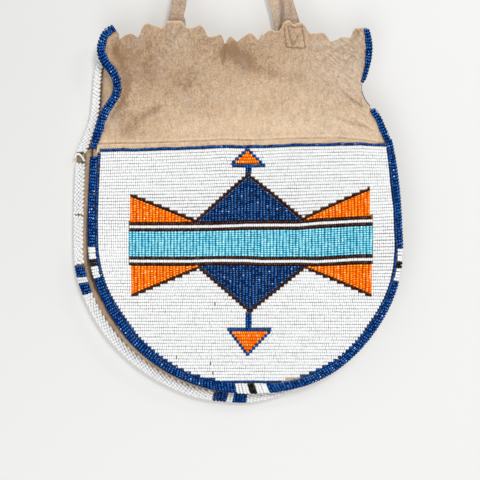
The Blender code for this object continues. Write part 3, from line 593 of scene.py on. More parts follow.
# ---- strung beads
def beadTree():
    tree = bpy.data.node_groups.new("strungBeads", "GeometryNodeTree")
    face = tree.interface
    face.new_socket("Strings", in_out="INPUT", socket_type="NodeSocketGeometry")
    for name, kind, value in (
        ("Bead Length", "NodeSocketFloat", 0.0014), ("Bead Width", "NodeSocketFloat", 0.002),
        ("Roundness", "NodeSocketFloat", 0.42), ("Uneven", "NodeSocketFloat", 0.06),
        ("Wander", "NodeSocketFloat", 0.00005), ("Seed", "NodeSocketInt", 1),
        ("Finish", "NodeSocketMaterial", None),
    ):
        socket = face.new_socket(name, in_out="INPUT", socket_type=kind)
        if value is not None:
            socket.default_value = value
    face.new_socket("Beads", in_out="OUTPUT", socket_type="NodeSocketGeometry")
    n = Nodes(tree)
    given = tree.nodes.new("NodeGroupInput")

    def asked(name):
        return Wire(n, given.outputs[name])

    def random(kind, low, high, offset):
        seed = asked("Seed") + float(offset)
        names = {"FLOAT": (2, 3, 1), "FLOAT_VECTOR": (0, 1, 0)}[kind]
        sockets = {names[0]: low, names[1]: high, "Seed": seed}
        return n.add("FunctionNodeRandomValue", {"data_type": kind}, sockets, names[2])

    count = n.add("GeometryNodeInputNamedAttribute", {"data_type": "INT"}, {"Name": "beads"})
    curve = n.add("GeometryNodeMeshToCurve", {}, {"Mesh": asked("Strings")})
    curve = n.add("GeometryNodeResampleCurve", {"mode": "COUNT"}, {"Curve": curve, "Count": count})
    wander = random("FLOAT_VECTOR", (-1, -1, -1), (1, 1, 1), 1)
    offset = n.add("ShaderNodeVectorMath", {"operation": "SCALE"},
                   {0: wander, "Scale": asked("Wander")})
    placed = n.add("GeometryNodeSetPosition", {}, {"Geometry": curve, "Offset": offset})
    length = asked("Bead Length")
    bead = n.add("GeometryNodeMeshCylinder", {"fill_type": "NGON"}, {
        "Vertices": 8, "Side Segments": 3, "Radius": asked("Bead Width") * 0.5, "Depth": length})
    at = n.add("GeometryNodeInputPosition")
    parts = n.add("ShaderNodeSeparateXYZ", {}, {0: at})
    up = Wire(n, parts.socket.node.outputs[2])
    along = abs(up) / (length * 0.5)
    narrow = 1 - (along ** 4.0) * asked("Roundness")
    scale = n.add("ShaderNodeCombineXYZ", {}, {0: narrow, 1: narrow, 2: 1.0})
    barrel = n.add("ShaderNodeVectorMath", {"operation": "MULTIPLY"}, {0: at, 1: scale})
    bead = n.add("GeometryNodeSetPosition", {}, {"Geometry": bead, "Position": barrel})
    bead = n.add("GeometryNodeSetShadeSmooth", {}, {"Geometry": bead, "Shade Smooth": True})
    tangent = n.add("GeometryNodeInputTangent")
    tilt = random("FLOAT_VECTOR", (-0.09, -0.09, -0.09), (0.09, 0.09, 0.09), 2)
    way = n.add("ShaderNodeVectorMath", {"operation": "ADD"}, {0: tangent, 1: tilt})
    turn = n.add("FunctionNodeAlignRotationToVector", {"axis": "Z"}, {"Vector": way})
    uneven = asked("Uneven")
    wide = random("FLOAT", 1 - uneven, 1 + uneven * 0.4, 3)
    long = random("FLOAT", 1 - uneven * 1.6, 1 + uneven * 0.3, 4)
    size = n.add("ShaderNodeCombineXYZ", {}, {0: wide, 1: wide, 2: long})
    beads = n.add("GeometryNodeInstanceOnPoints", {}, {
        "Points": placed, "Instance": bead, "Rotation": turn, "Scale": size})
    shade = random("FLOAT", 0.0, 1.0, 5)
    beads = n.add("GeometryNodeStoreNamedAttribute", {"data_type": "FLOAT", "domain": "INSTANCE"},
                  {"Geometry": beads, "Name": "shade", "Value": shade})
    solid = n.add("GeometryNodeRealizeInstances", {}, {"Geometry": beads})
    coloured = n.add("GeometryNodeSetMaterial", {}, {"Geometry": solid, "Material": asked("Finish")})
    n.add("NodeGroupOutput", {}, {0: coloured})
    return tree


beadMaker = beadTree()
# "pitch" is the way between beads on a string, and "lane" or "across" between strings
fieldBeads = {"Bead Length": 1.38, "Bead Width": 2.27, "Roundness": 0.24, "Uneven": 0.05,
              "Wander": 0.06, "pitch": 1.40, "lane": 2.1}
colourBeads = {**fieldBeads, "Bead Width": 2.42, "Roundness": 0.26, "Uneven": 0.06}
lineBeads = {**colourBeads, "Bead Width": 2.12}
borderBeads = {**colourBeads, "Bead Width": 2.06, "Roundness": 0.3, "Wander": 0.05}
edgeBeads = {"Bead Length": 1.46, "Bead Width": 2.12, "Roundness": 0.12, "Uneven": 0.05,
             "Wander": 0.04, "pitch": 1.42, "lane": 1.99}
ropeBeads = {"Bead Length": 2.36, "Bead Width": 1.88, "Roundness": 0.17, "Uneven": 0.05,
             "Wander": 0.05, "pitch": 2.26, "across": 1.62}
looseBeads = {"Bead Length": 1.45, "Bead Width": 1.8, "Roundness": 0.34, "Uneven": 0.05,
              "Wander": 0.04, "pitch": 1.35}
stitchSize = {"Bead Length": 1.7, "Bead Width": 0.36, "Roundness": 0.4, "Uneven": 0.08,
              "Wander": 0.02, "pitch": 1.75}


def stringBeads(name, node, strings, size, colour, seed, slot=None):
    # strings are (points, how many beads) in the bag's own millimetres
    points, edges, counts = [], [], []
    for line, beads in strings:
        start = len(points)
        points.extend(line)
        edges.extend((start + i, start + i + 1) for i in range(len(line) - 1))
        counts.extend([beads] * len(line))
    mesh = bpy.data.meshes.new(name)
    mesh.from_pydata(inWorld(points).tolist(), edges, [])
    attribute = mesh.attributes.new("beads", "INT", "POINT")
    attribute.data.foreach_set("value", counts)
    source = objectFrom(name + "_strings", mesh)
    modifier = source.modifiers.new("beads", "NODES")
    modifier.node_group = beadMaker
    for item in beadMaker.interface.items_tree:
        if item.in_out == "INPUT" and item.name in size:
            roomy = item.name in ("Bead Length", "Bead Width", "Wander")
            modifier[item.identifier] = size[item.name] * (mm if roomy else 1)
        elif item.name == "Seed":
            modifier[item.identifier] = seed
        elif item.name == "Finish":
            modifier[item.identifier] = finishes[colour]
    keep(bakedMesh(source, name), (node,), slot or colour + "_beads")


def stringAlong(points, pitch):
    # beads that fill a line: the string runs between the first and the last bead's middles
    points = np.asarray(points, float)
    along = lengthsAlong(points)
    beads = max(1, round(along[-1] / pitch))
    half = along[-1] / beads / 2
    if beads == 1:
        ends = np.array([along[-1] / 2 - 0.05, along[-1] / 2 + 0.05])
    else:
        inner = along[(along > half) & (along < along[-1] - half)]
        ends = np.concatenate(([half], inner, [along[-1] - half]))
    line = np.stack([np.interp(ends, along, points[:, i]) for i in range(3)], 1)
    return line, beads


# ---- the beaded panel
motif = {
    "left": -76.0,
    "right": 83.6,
    "bandLow": -10.25,
    "bandHigh": 7.65,
    "upperLines": (8.7, 10.8, 12.9),
    "lowerLines": (-11.3, -13.4, -15.5),
    "upperZigzag": ((-75.4, 31.4), (-32.2, 14.5), (2.0, 43.3), (37.9, 14.5), (82.0, 32.2)),
    "lowerZigzag": ((-74.6, -36.8), (-30.4, -17.8), (3.1, -46.9), (39.2, -17.2), (83.0, -36.7)),
    "upperArrow": ((-9.4, 49.6), (1.6, 60.0), (13.3, 48.3)),
    "lowerArrow": ((-10.9, -58.8), (1.6, -75.2), (17.2, -59.0)),
    "upperStem": (44.2, 48.6),
    "lowerStem": (-58.0, -48.0),
    "stemMiddle": 2.3,
    "stemStrings": 0.95,  # each of the stem's two strings lies this far from its middle
    "arrowInside": 1.05,  # from an arrow's line to its fill
}
lane = fieldBeads["lane"]
halfLane = lane / 2
beadRise = 0.45 + fieldBeads["Bead Width"] / 2  # from the hide's middle to a bead's
borderTop = 61.5
borderInsets = (
    (-32, 1.6), (-26, 2.1), (-19, 2.6), (-9, 1.9), (-4, 2.1), (16, 2.2), (26, 2.7), (36, 3.1),
    (51, 3.2), (58, 4.2), (68, 4.3), (76, 4.6), (86, 5.9), (91, 5.7), (101, 4.4), (111, 3.5),
    (121, 3.65), (131, 4.2), (146, 4.2), (161, 3.0), (181, 3.2), (200, 3.3),
)
fieldBeyond = 1.2  # from the border's middle to where the white rows end
lostBeads = ((215, 303), (210.4, 361.6), (213, 374), (176.7, 356))  # as traced


def onPanel(xs, zs, proud=0.0):
    # flat drawing places, lifted and laid on the full front
    xs, zs = np.broadcast_arrays(np.asarray(xs, float), np.asarray(zs, float))
    lifted = zs + lift(xs, zs)
    return np.stack([xs, bellyY(lifted) - beadRise - proud, lifted], 1)


def crossings(level, ring, axis):
    # where a closed outline crosses a level; axis 1 is a level row, 0 an upright one
    found = []
    for a, b in zip(ring, [*ring[1:], ring[0]]):
        if (a[axis] > level) != (b[axis] > level):
            share = (level - a[axis]) / (b[axis] - a[axis])
            found.append(a[1 - axis] + (b[1 - axis] - a[1 - axis]) * share)
    found.sort()
    return list(zip(found[::2], found[1::2]))


def without(spans, gaps):
    for low, high in gaps:
        cut = []
        for a, b in spans:
            if high <= a or low >= b:
                cut.append((a, b))
                continue
            if low > a:
                cut.append((a, low))
            if high < b:
                cut.append((high, b))
        spans = cut
    return spans


def grownRing(ring, amount):
    # a closed outline moved outwards, counted as the way round that makes its area positive
    ring = [np.array(p, float) for p in ring]
    area = sum(a[0] * b[1] - b[0] * a[1] for a, b in zip(ring, ring[1:] + ring[:1]))
    side = 1 if area > 0 else -1
    grown = []
    for i, here in enumerate(ring):
        before, after = ring[i - 1], ring[(i + 1) % len(ring)]
        one = (here - before) / np.linalg.norm(here - before)
        other = (after - here) / np.linalg.norm(after - here)
        normals = [np.array((w[1], -w[0])) * side for w in (one, other)]
        middle = normals[0] + normals[1]
        middle /= np.linalg.norm(middle)
        grown.append(tuple(here + middle * amount / max(middle @ normals[0], 0.8)))
    return grown


def levelRow(a, b, z, wobble=0.06):
    count = max(2, round((b - a) / 4))
    xs = np.linspace(a, b, count)
    phase, length = z * 1.7, 31 + 9 * math.sin(z)
    drift = wobble * np.sin(2 * math.pi * xs / length + phase)
    return onPanel(xs, z + drift)


def uprightRow(a, b, x):
    count = max(2, round((b - a) / 1.4))
    zs = np.linspace(a, b, count)
    drift = 0.13 * np.sin(zs / 3.4 + x * 1.3) + 0.06 * np.sin(zs / 1.7 + x * 2.9)
    return onPanel(x + drift, zs)


def borderLine(beyond=0.0):
    inset = smoothed(fromTable(roundTurns, borderInsets))
    return roundLine[:, :2] - roundLine[:, 2:] * (inset + beyond)[:, None]


def roundInset(beyond, top):
    # the U inside the border, as a ring closed at a height
    line = borderLine(beyond)
    line = line[line[:, 1] < top]
    left, right = line[0], line[-1]
    return [(left[0], top), *map(tuple, line), (right[0], top)]


def box(left, right, low, high):
    return [(left, low), (right, low), (right, high), (left, high)]


def motifHoles():
    # closed outlines round every part of the motif, where no white row runs
    holes = []
    for up in ("upper", "lower"):
        zigzag = list(motif[up + "Zigzag"])
        first, last = (zigzag[0][0] + 0.8, zigzag[0][1]), (zigzag[-1][0] - 0.8, zigzag[-1][1])
        body = [(first[0], 0), first, *zigzag[1:-1], last, (last[0], 0)]
        holes.append(grownRing(body, 0.86))
        holes.append(grownRing(motif[up + "Arrow"], 1.0))
        low, high = motif[up + "Stem"]
        middle = motif["stemMiddle"]
        holes.append(box(middle - 1.95, middle + 1.95, low - 0.6, high + 0.6))
    low, high = motif["lowerLines"][2] - 1, motif["upperLines"][2] + 1
    holes.append(box(motif["left"] - 0.2, motif["right"] + 0.2, low, high))
    return holes


def layWhite():
    # level rows over the whole ground, stopped at the motif
    ring = roundInset(fieldBeyond, borderTop - 0.95)
    holes = motifHoles()
    rows = []
    z = borderTop - lane
    while z > -outline["radius"]:
        spans = crossings(z + (0.6 if z < -60 else 0), ring, 1)
        for hole in holes:
            spans = without(spans, crossings(z, hole, 1))
        for a, b in spans:
            for gap in lostBeads:
                x, gapZ = traced(*gap)
                if a < x < b and abs(gapZ - z - float(lift(x, z))) < halfLane:
                    rows.append((z, stringAlong(levelRow(a, x - 0.35, z), fieldBeads["pitch"])))
                    a = x + 0.45
            if b - a > 0.8:
                rows.append((z, stringAlong(levelRow(a, b, z), fieldBeads["pitch"])))
        z -= lane * 0.985
    for name, low, high in (("top", 29.0, 200), ("middle", -31.0, 29.0), ("bottom", -200, -31.0)):
        chosen = [row for z, row in rows if low <= z < high]
        stringBeads("white_ground_" + name, "white_ground", chosen, fieldBeads, "white",
                    11 + len(name))


def layRows(name, colour, columns):
    # upright rows, each (x, low, high)
    rows = []
    for x, low, high in columns:
        if high - low > 0.5:
            rows.append(stringAlong(uprightRow(low, high, x), fieldBeads["pitch"]))
    stringBeads(name + "_beads", name, rows, colourBeads, colour, 3 + len(name))


def layLine(name, colour, paths, size=fieldBeads, end=""):
    # single strings along paths drawn flat
    rows = []
    for path in paths:
        fine = evenly(np.array(path, float), 0.7)
        rows.append(stringAlong(onPanel(fine[:, 0], fine[:, 1]), size["pitch"]))
    stringBeads(name + "_beads" + end, name, rows, size, colour, 5 + len(name))


def columnsBetween(a, b, first, zigzag, floor, way):
    # upright rows from the motif's floor to its zigzag, each (x, low, high)
    found = []
    x = first
    while x < b - 0.3:
        slope = 1.45 if zigzag[1][0] < x < zigzag[3][0] else 1.15
        edge = fromTable(x, zigzag) - way * slope
        if x > a + 0.3 and (edge - floor) * way > 0.6:
            found.append((x, *sorted((floor, edge))))
        x += lane
    return found


def fillArrow(name, arrow, way):
    # level orange rows, counted from the arrow's base
    fill = grownRing(arrow, -motif["arrowInside"])
    low, high = min(p[1] for p in fill), max(p[1] for p in fill)
    rows = []
    z = arrow[0][1] + way * 2.0
    while low - 0.3 < z < high + 0.3:
        for a, b in crossings(z, fill, 1):
            if b - a > 0.7:
                rows.append(stringAlong(levelRow(a, b, z, 0.05), fieldBeads["pitch"]))
        z += way * lane * 0.97
    stringBeads(name + "_beads", name, rows, colourBeads, "orange", 9)


def layMotif():
    left, right = motif["left"], motif["right"]
    xs = np.arange(left + halfLane, right, (right - left - lane) / 75)
    layRows("centre_band", "turquoise", [(x, motif["bandLow"], motif["bandHigh"]) for x in xs])
    for up, way in (("upper", 1), ("lower", -1)):
        inner, stripe, outer = motif[up + "Lines"]
        layLine(up + "_band_line", "brown", [((left + 0.4, inner), (right - 0.3, inner))])
        layLine(up + "_white_stripe", "white", [((left + 0.2, stripe), (right, stripe))])
        layLine(up + "_base_line", "brown", [((left + 0.3, outer), (right - 0.6, outer))])
        zigzag = motif[up + "Zigzag"]
        layLine(up + "_outline", "brown", [zigzag[:3], zigzag[2:]], lineBeads)
        floor = outer + way * halfLane
        flanks = (
            ("_left_wedge", "orange", left - 1, zigzag[1][0], zigzag[0][0] + 0.9),
            ("_diamond", "navy", zigzag[1][0], zigzag[3][0], zigzag[2][0] - lane * 18),
            ("_right_wedge", "orange", zigzag[3][0], zigzag[4][0], zigzag[4][0] - 0.9
             - lane * round((zigzag[4][0] - zigzag[3][0]) / lane)),
        )
        for word, colour, a, b, first in flanks:
            layRows(up + word, colour, columnsBetween(a, b, first, zigzag, floor, way))
        arrow = motif[up + "Arrow"]
        stems = [[(motif["stemMiddle"] + side * motif["stemStrings"], z) for z in motif[up + "Stem"]]
                 for side in (-1, 1)]
        layLine(up + "_arrow_line", "blue", [arrow, (arrow[2], arrow[0]), *stems])
        fillArrow(up + "_arrow_fill", arrow, way)


def layBorder():
    # one string round the panel, with a few beads lost at the bottom right
    line = borderLine()
    below = line[line[:, 1] < borderTop - 1.2]
    lost = (below[:, 0] > 24.4) & (below[:, 0] < 36.5) & (below[:, 1] < 0)
    first, last = np.nonzero(lost)[0][[0, -1]]
    layLine("border_row", "blue", [below[:first], below[last + 1 :]], borderBeads)
    xs = np.linspace(below[0][0] + 0.4, below[-1][0] + 0.3, 120)
    top = np.stack([xs, borderTop + 0.3 * np.sin(xs / 8.3 + 1) * np.sin(xs / 3.1)], 1)
    layLine("border_row", "blue", [top], fieldBeads, end="_top")


layWhite()
layMotif()
layBorder()
print("panel strung")


# ---- rolled bead edging
edging = {
    "reachOut": 1.8,  # from the edge's middle to a bead's, outwards
    "reachDeep": 2.1,
    "square": 3.2,
    "wrapEnd": math.radians(152),
    "backLean": 1.3,  # how far a wrap's ends lie to the sides of its middle
    "yokeLean": 0.35,
    "lead": 4.0,  # a straight run that leads into the front edging and out of it
}
frontRuns = {
    "gapLeft": 10.9, "gapRight": -0.6, "fromFold": 80.5, "aside": 3.5, "fromRightFold": 82.4,
    "sizes": ((8.2, 4.6, 8.2), (8.8, 4.4, 8.4), (8.2, 4.6, 8.2)),
    "colours": ("white", "black", "white"), "ground": "navy",
    "leans": ((0, 0.3), (70, 0.4), (170, -0.6), (215, -2.2), (245, -2.4), (290, -0.8), (450, 0.3)),
}
backRuns = {
    "fromFold": 87.0, "aside": -0.9, "ground": "white", "colours": ("blue", "white", "blue"),
    "sizes": ((7.8, 4.2, 8.0), (8.7, 4.2, 9.2), (7.8, 4.2, 8.0)),
    "bare": ((1.6, 8.6), (43.0, 43.9)),  # from the fold, where beads are lost
}
yokeRolls = {
    # where each starts and stops, and its thickness by height: it thins towards the waist
    "Left": {"lead": 6.4, "start": 0.6, "short": 6.0, "reach": 2.35,
             "thin": ((58.0, 0.6), (64.0, 0.8), (70.0, 1.0))},
    "Right": {"lead": 4.0, "start": 2.6, "short": 5.6, "reach": 1.8,
              "thin": ((72.0, 1.0), (83.5, 1.0), (86.5, 0.55), (88.4, 0.3), (103.0, 0.25),
                       (108.0, 0.5), (122.0, 0.95), (130.0, 0.95), (139.0, 0.7))},
}


def wrapAt(line, along, place, middleY, lean, reach, thin=1.0, count=15):
    # one string wrapped round the edge, with the length along the edge that each point has
    slide = dice.uniform(-0.2, 0.2) if count < 20 else 0
    turns = np.linspace(-edging["wrapEnd"], edging["wrapEnd"], 91) + slide
    power = 2 / edging["square"]
    c, s = np.cos(turns), np.sin(turns)
    wide = reach(place) if callable(reach) else reach
    girth = np.stack([edging["reachOut"] + wide * thin * (np.sign(c) * np.abs(c) ** power - 1),
                      edging["reachDeep"] * thin * np.sign(s) * np.abs(s) ** power], 1)
    girth = evenly(girth, lengthsAlong(girth)[-1] / (count - 1))
    out, deep = girth[:, 0], girth[:, 1]
    slip = place - lean * np.linspace(-1, 1, len(girth)) + dice.uniform(-0.05, 0.05)
    x, z, ox, oz = (np.interp(slip, along, line[:, i]) for i in range(4))
    size = np.hypot(ox, oz)
    ox, oz = ox / size, oz / size
    y = middleY(x, z)
    return np.stack([x + ox * out, y + deep, z + oz * out], 1), slip


def wrapRun(name, line, start, end, middleY, lean, colour, reach, thin=None):
    # level wraps side by side
    along = lengthsAlong(line[:, :2])
    count = max(1, round((end - start) / edgeBeads["lane"]))
    strings = []
    hidden = name == "yoke_edging_right"
    for i in range(count):
        place = start + (end - start) * (i + 0.5) / count + dice.uniform(-0.06, 0.06)
        height = np.interp(place, along, line[:, 1])
        if hidden and 86.2 < height < 103.0:
            continue
        size = fromTable(height, thin) if thin else 1.0
        turn = fromTable(place, lean) if isinstance(lean, tuple) else lean
        turn += dice.uniform(-0.22, 0.22)
        wrap, _ = wrapAt(line, along, place, middleY, turn, reach, size)
        strings.append(stringAlong(wrap, edgeBeads["pitch"]))
    if hidden:
        # one string shows along the waist, where the roll lies behind the hide
        edge = sideLines["frontRight"]
        edge = edge[(edge[:, 1] > 87.2) & (edge[:, 1] < 103.5)]
        points = movedOut(edge, np.interp(edge[:, 1], (96, 101), (0.6, 0.25))[:, None])
        points = np.stack([points[:, 0], yokeY(*points.T) + 1.6, points[:, 1]], 1)
        strings.append(stringAlong(points, edgeBeads["pitch"]))
    stringBeads(name + "_beads", name, strings, edgeBeads, colour, 21 + len(name))


def extended(line, amount):
    # the line with a straight run added at both ends
    ends = []
    for end, beside in ((line[0], line[1]), (line[-1], line[-2])):
        way = (end[:2] - beside[:2]) / np.linalg.norm(end[:2] - beside[:2])
        ends.append([(*(end[:2] + way * (amount / 8) * k), *end[2:]) for k in range(1, 9)])
    return np.concatenate([ends[0][::-1], line, ends[1]])


def backReach(place):
    # the back roll is slimmer up beside the yoke
    return np.interp(place, (0, 30, 75, 90), (1.5, 1.9, 2.7, 3.0))


def ropeRun(name, line, start, end, colour, bare):
    # strands wound steeply round the edge, each cut where the colour changes
    along = lengthsAlong(line[:, :2])
    strings = []
    place = -30.0
    while place < end + 30.0:
        # the strands lie flatter along the round bottom
        lean = np.interp(place, (60, 130, 165), (9.0, 10.0, 18.0))
        place += ropeBeads["across"] * math.hypot(1, 2 * lean / 13.5)
        if place < start - 25 or place > end + 25:
            continue
        wrap, slip = wrapAt(line, along, place, backMiddle, -lean, backReach, 1.0, 49)
        here = (slip >= start) & (slip < end)
        for low, high in bare:
            here &= ~((slip > low) & (slip < high))
        for part in np.split(np.arange(len(slip)), np.nonzero(np.diff(here))[0] + 1):
            if here[part[0]] and len(part) > 2:
                strings.append(stringAlong(wrap[part], ropeBeads["pitch"]))
    stringBeads(name + "_beads", name, strings, ropeBeads, colour, 21 + len(name))


def edgeCore(name, node, line, middleY, width, depth, tone):
    # the rolled hide inside the wraps, darkened by its tone: painted shade between the wraps
    turns = np.linspace(0, 2 * math.pi, 12, endpoint=False)
    rings = []
    for x, z, a, b in line[::4]:
        y = float(middleY(x, z))
        rings.append([(x + a * width * math.cos(t), y + depth * math.sin(t),
                       z + b * width * math.cos(t)) for t in turns])
    rings = np.array(rings)
    tube(name, (node,), "hide_shaded", rings, np.full(rings.shape[:2], tone))


def runsOf(prefix, runs, start, end, centres, lay):
    # runs of colour along an edge: the ground, and three marks about each centre
    marks = []
    for centre, sizes in zip(centres, runs["sizes"]):
        at = centre - sum(sizes) / 2
        marks.append((runs["ground"], at))
        for size, colour in zip(sizes, runs["colours"]):
            at += size
            marks.append((colour, at))
    marks.append((runs["ground"], end))
    for number, (colour, stop) in enumerate(marks, 1):
        name = f"{prefix}_{number:02d}_{colour}"
        lay(name, start, stop, "blue" if colour == "navy" else colour, (number - 1) % 4 > 0)
        start = stop


def frontMiddle(x, z):
    return bellyY(z) + 0.65


def backMiddle(x, z):
    return outline["depth"] / 2 - 0.65 + 0 * x


def tuckedBehind(line):
    # towards the waist the right edge curls back, so the hide hides its roll
    zs = line[:, 1]
    share = eased(np.interp(zs, (87.0, 89.5, 99.5, 106.5), (0, 1, 1, 0)))
    moved = line.copy()
    moved[:, :2] -= line[:, 2:] * (4.3 * share)[:, None]
    order = np.argsort(moved[:, 1])

    def middleY(x, z):
        return yokeY(x, z) + 3.4 * np.interp(z, moved[order, 1], share[order])

    return moved, middleY


def looseBeadsAtBreak():
    # a strand hangs free where the back edging broke, with a few odd green beads
    line = [(tracedBack(75.2, 158.0), 6.4), (tracedBack(76.6, 155.4), 5.0),
            (tracedBack(79.2, 154.3), 4.0), (tracedBack(82.0, 156.3), 3.6),
            (tracedBack(84.3, 159.6), 3.8), (tracedBack(84.8, 161.4), 4.6)]
    points = smoothCurve([(x, y, z) for (x, z), y in line], 0.4)
    strand = [stringAlong(points, looseBeads["pitch"])]
    stringBeads("loose_strand", "back_edging_01_white", strand, looseBeads, "white", 5)
    dots = []
    for px, py, y in ((83.2, 153.0, 4.2), (83.2, 162.9, 5.0), (136.0, 357.4, 5.4)):
        x, z = tracedBack(px, py)
        dots.append((np.array([(x - 0.05, y, z), (x + 0.05, y, z)]), 1))
    stringBeads("odd_green_beads", "back_edging_01_white", dots, looseBeads, "green", 6,
                "white_beads")


def layFrontEdging():
    lead = edging["lead"]
    places = lengthsAlong(roundLine[:, :2])
    length = places[-1]
    # the roll reaches in as far as the border string
    reaches = np.maximum(1.35, (fromTable(roundTurns, borderInsets) + 0.45) / 1.95)
    line = extended(roundLine, lead)

    def reach(place):
        return np.interp(place, places + lead, reaches)

    def lay(name, start, end, colour, marked):
        wrapRun(name, line, start, end, frontMiddle, frontRuns["leans"], colour, reach)

    centres = (frontRuns["fromFold"], length / 2 + frontRuns["aside"],
               length - frontRuns["fromRightFold"])
    runsOf("front_edging", frontRuns, frontRuns["gapLeft"] + lead,
           length - frontRuns["gapRight"] + lead, [centre + lead for centre in centres], lay)


def layBackEdging():
    left = sideLines["backLeft"][::-1]
    whole = np.concatenate([left[:-1], backRound, sideLines["backRight"][1:]])
    side = lengthsAlong(left[:, :2])[-1]
    length = lengthsAlong(roundLine[:, :2])[-1]
    bare = [(side + low, side + high) for low, high in backRuns["bare"]]

    def lay(name, start, end, colour, marked):
        # the marks are wrapped level, and the white between them is wound like rope
        if marked:
            wrapRun(name, whole, start, end, backMiddle, edging["backLean"], colour, backReach)
        else:
            ropeRun(name, whole, start, end, colour, bare)

    centres = (side + backRuns["fromFold"], side + length / 2 + backRuns["aside"],
               side + length - backRuns["fromFold"])
    runsOf("back_edging", backRuns, 0.0, lengthsAlong(whole[:, :2])[-1], centres, lay)
    return whole


def layYokeEdging():
    for word, roll in yokeRolls.items():
        line, middleY = extended(sideLines["front" + word], roll["lead"]), yokeY
        if word == "Right":
            line, middleY = tuckedBehind(line)
        name = "yoke_edging_" + word.lower()
        end = lengthsAlong(line[:, :2])[-1] - roll["short"]
        wrapRun(name, line, roll["start"], end, middleY, edging["yokeLean"], "blue",
                roll["reach"], roll["thin"])
        edgeCore(name + "_core", name, line[8:-8], middleY, 0.9, 0.8, -0.6)


layFrontEdging()
whole = layBackEdging()
# the cores' low tones are painted shade between the wraps
edgeCore("front_edging_core", "front_edging_01_navy", roundLine[22:-2], frontMiddle, 1.15, 1.05, -0.9)
edgeCore("back_edging_core", "back_edging_01_white", whole, backMiddle, 1.75, 1.2, -0.75)
looseBeadsAtBreak()
layYokeEdging()
print("edges wrapped")


# ---- hides
mouthLine = [traced(*p) for p in (
    (105, 33), (109, 29.5), (113, 28.3), (116.5, 30), (118.6, 33.5), (118.4, 37), (118.9, 40.6),
    (121, 38.8), (125, 35.6), (129, 33.7), (132.5, 33.9), (135.5, 35.8), (138.4, 38.2),
    (140, 34.5), (142, 29), (144.3, 25), (147.5, 23.4), (151, 24.4), (157, 26.6), (161.2, 28.4),
    (163.5, 26.8), (166, 23.6), (168, 21.7), (170, 21.2), (181, 21.2), (182.8, 22.3),
    (183.8, 25), (186, 27.7), (190, 28), (193.5, 27.8), (196.5, 26), (199.5, 24.9), (202, 26),
    (204.5, 29.5), (206.3, 34), (207.8, 37), (211, 36.8), (216, 36), (219, 34.7), (221, 34.3),
    (222.5, 37), (223.7, 41), (225, 45.6), (226.3, 42), (228, 38.2), (230, 36.2), (232.3, 37.3),
    (235, 40), (237.5, 41.7), (240, 39.5), (244.5, 35.8), (249, 33.2), (252, 33.6),
    (255, 36.6), (258.4, 40.3), (261, 37.8), (264.5, 34), (268, 31), (271, 30.2), (274.5, 31),
    (278.5, 31.9), (281, 28.5), (283.3, 24.5), (285, 21.8), (288, 20.4), (290.5, 21.6),
    (292.5, 24.4), (294.5, 25.2), (297, 23.4), (300, 22.6), (302.5, 23.4), (305, 26.2),
    (307.5, 31), (310, 33.6), (316, 33.7), (321, 33), (324, 33.6), (327, 36.8), (329.6, 41.8),
    (333, 41.2), (337, 39.8), (341.5, 37.2), (345, 37.2), (348.8, 38.6), (351.2, 36.6),
    (352.8, 31), (355, 28), (359, 28.1), (363, 27.5), (366, 28.6), (369, 30),
)]
backMouth = [
    (-98, 134), (-92, 126.8), (-86, 131), (-80, 127.0), (-74, 132.4), (-68, 133.8), (-63, 131.2),
    (-56, 134.9), (-49, 132), (-42, 134.4), (-40.6, 134.9), (-36, 127.8), (-30, 131.3),
    (-26, 125.8), (-20, 131.0), (-12, 131.8), (-6, 126.4), (2, 131.2), (8.6, 133.0),
    (11.2, 138.3), (14, 136.2), (18, 135.4), (22.0, 137.6), (26, 131), (33, 134),
    (40, 129.2), (48, 133.4), (54, 127.4), (61, 130), (66, 127), (72, 128),
]

tones = (
    # place and reach in the photograph's frame, and how much paler or darker
    (150, 62, 34, 30, -0.20), (128, 45, 10, 12, -0.12), (116, 64, 10, 16, -0.10),
    (126, 79, 5, 11, -0.22), (357, 32, 5, 5, -0.2), (236, 54, 11, 10, -0.40),
    (228, 49, 7, 7, -0.34), (247, 64, 12, 11, -0.26), (262, 58, 16, 14, -0.09),
    (205, 42, 22, 14, -0.08), (198, 106, 16, 10, -0.10), (150, 70, 12, 12, -0.10),
    (186, 84, 18, 11, -0.22), (176, 90, 22, 12, -0.08), (138, 92, 18, 18, -0.06),
    (160, 122, 40, 16, -0.05), (123, 110, 9, 22, -0.16), (132, 128, 22, 14, -0.12),
    (290, 70, 45, 26, -0.03), (345, 60, 26, 30, 0.02), (330, 95, 30, 16, -0.04),
    (260, 126, 110, 14, 0.14), (330, 130, 46, 14, 0.06), (215, 130, 60, 10, 0.06),
    (360, 50, 10, 14, -0.04), (345, 112, 46, 36, 0.09), (262, 88, 40, 22, 0.08),
    (290, 80, 22, 16, 0.06), (330, 50, 40, 22, 0.06),
)
wornSpots = ((350, 60, 40, 45, 1.0), (175, 38, 14, 16, 0.7), (340, 135, 50, 14, 0.5))
rustSpots = ((116, 50, 4.5, 8, 1.2), (121, 58, 9, 8, 0.45), (228, 52, 9, 6, 0.3))
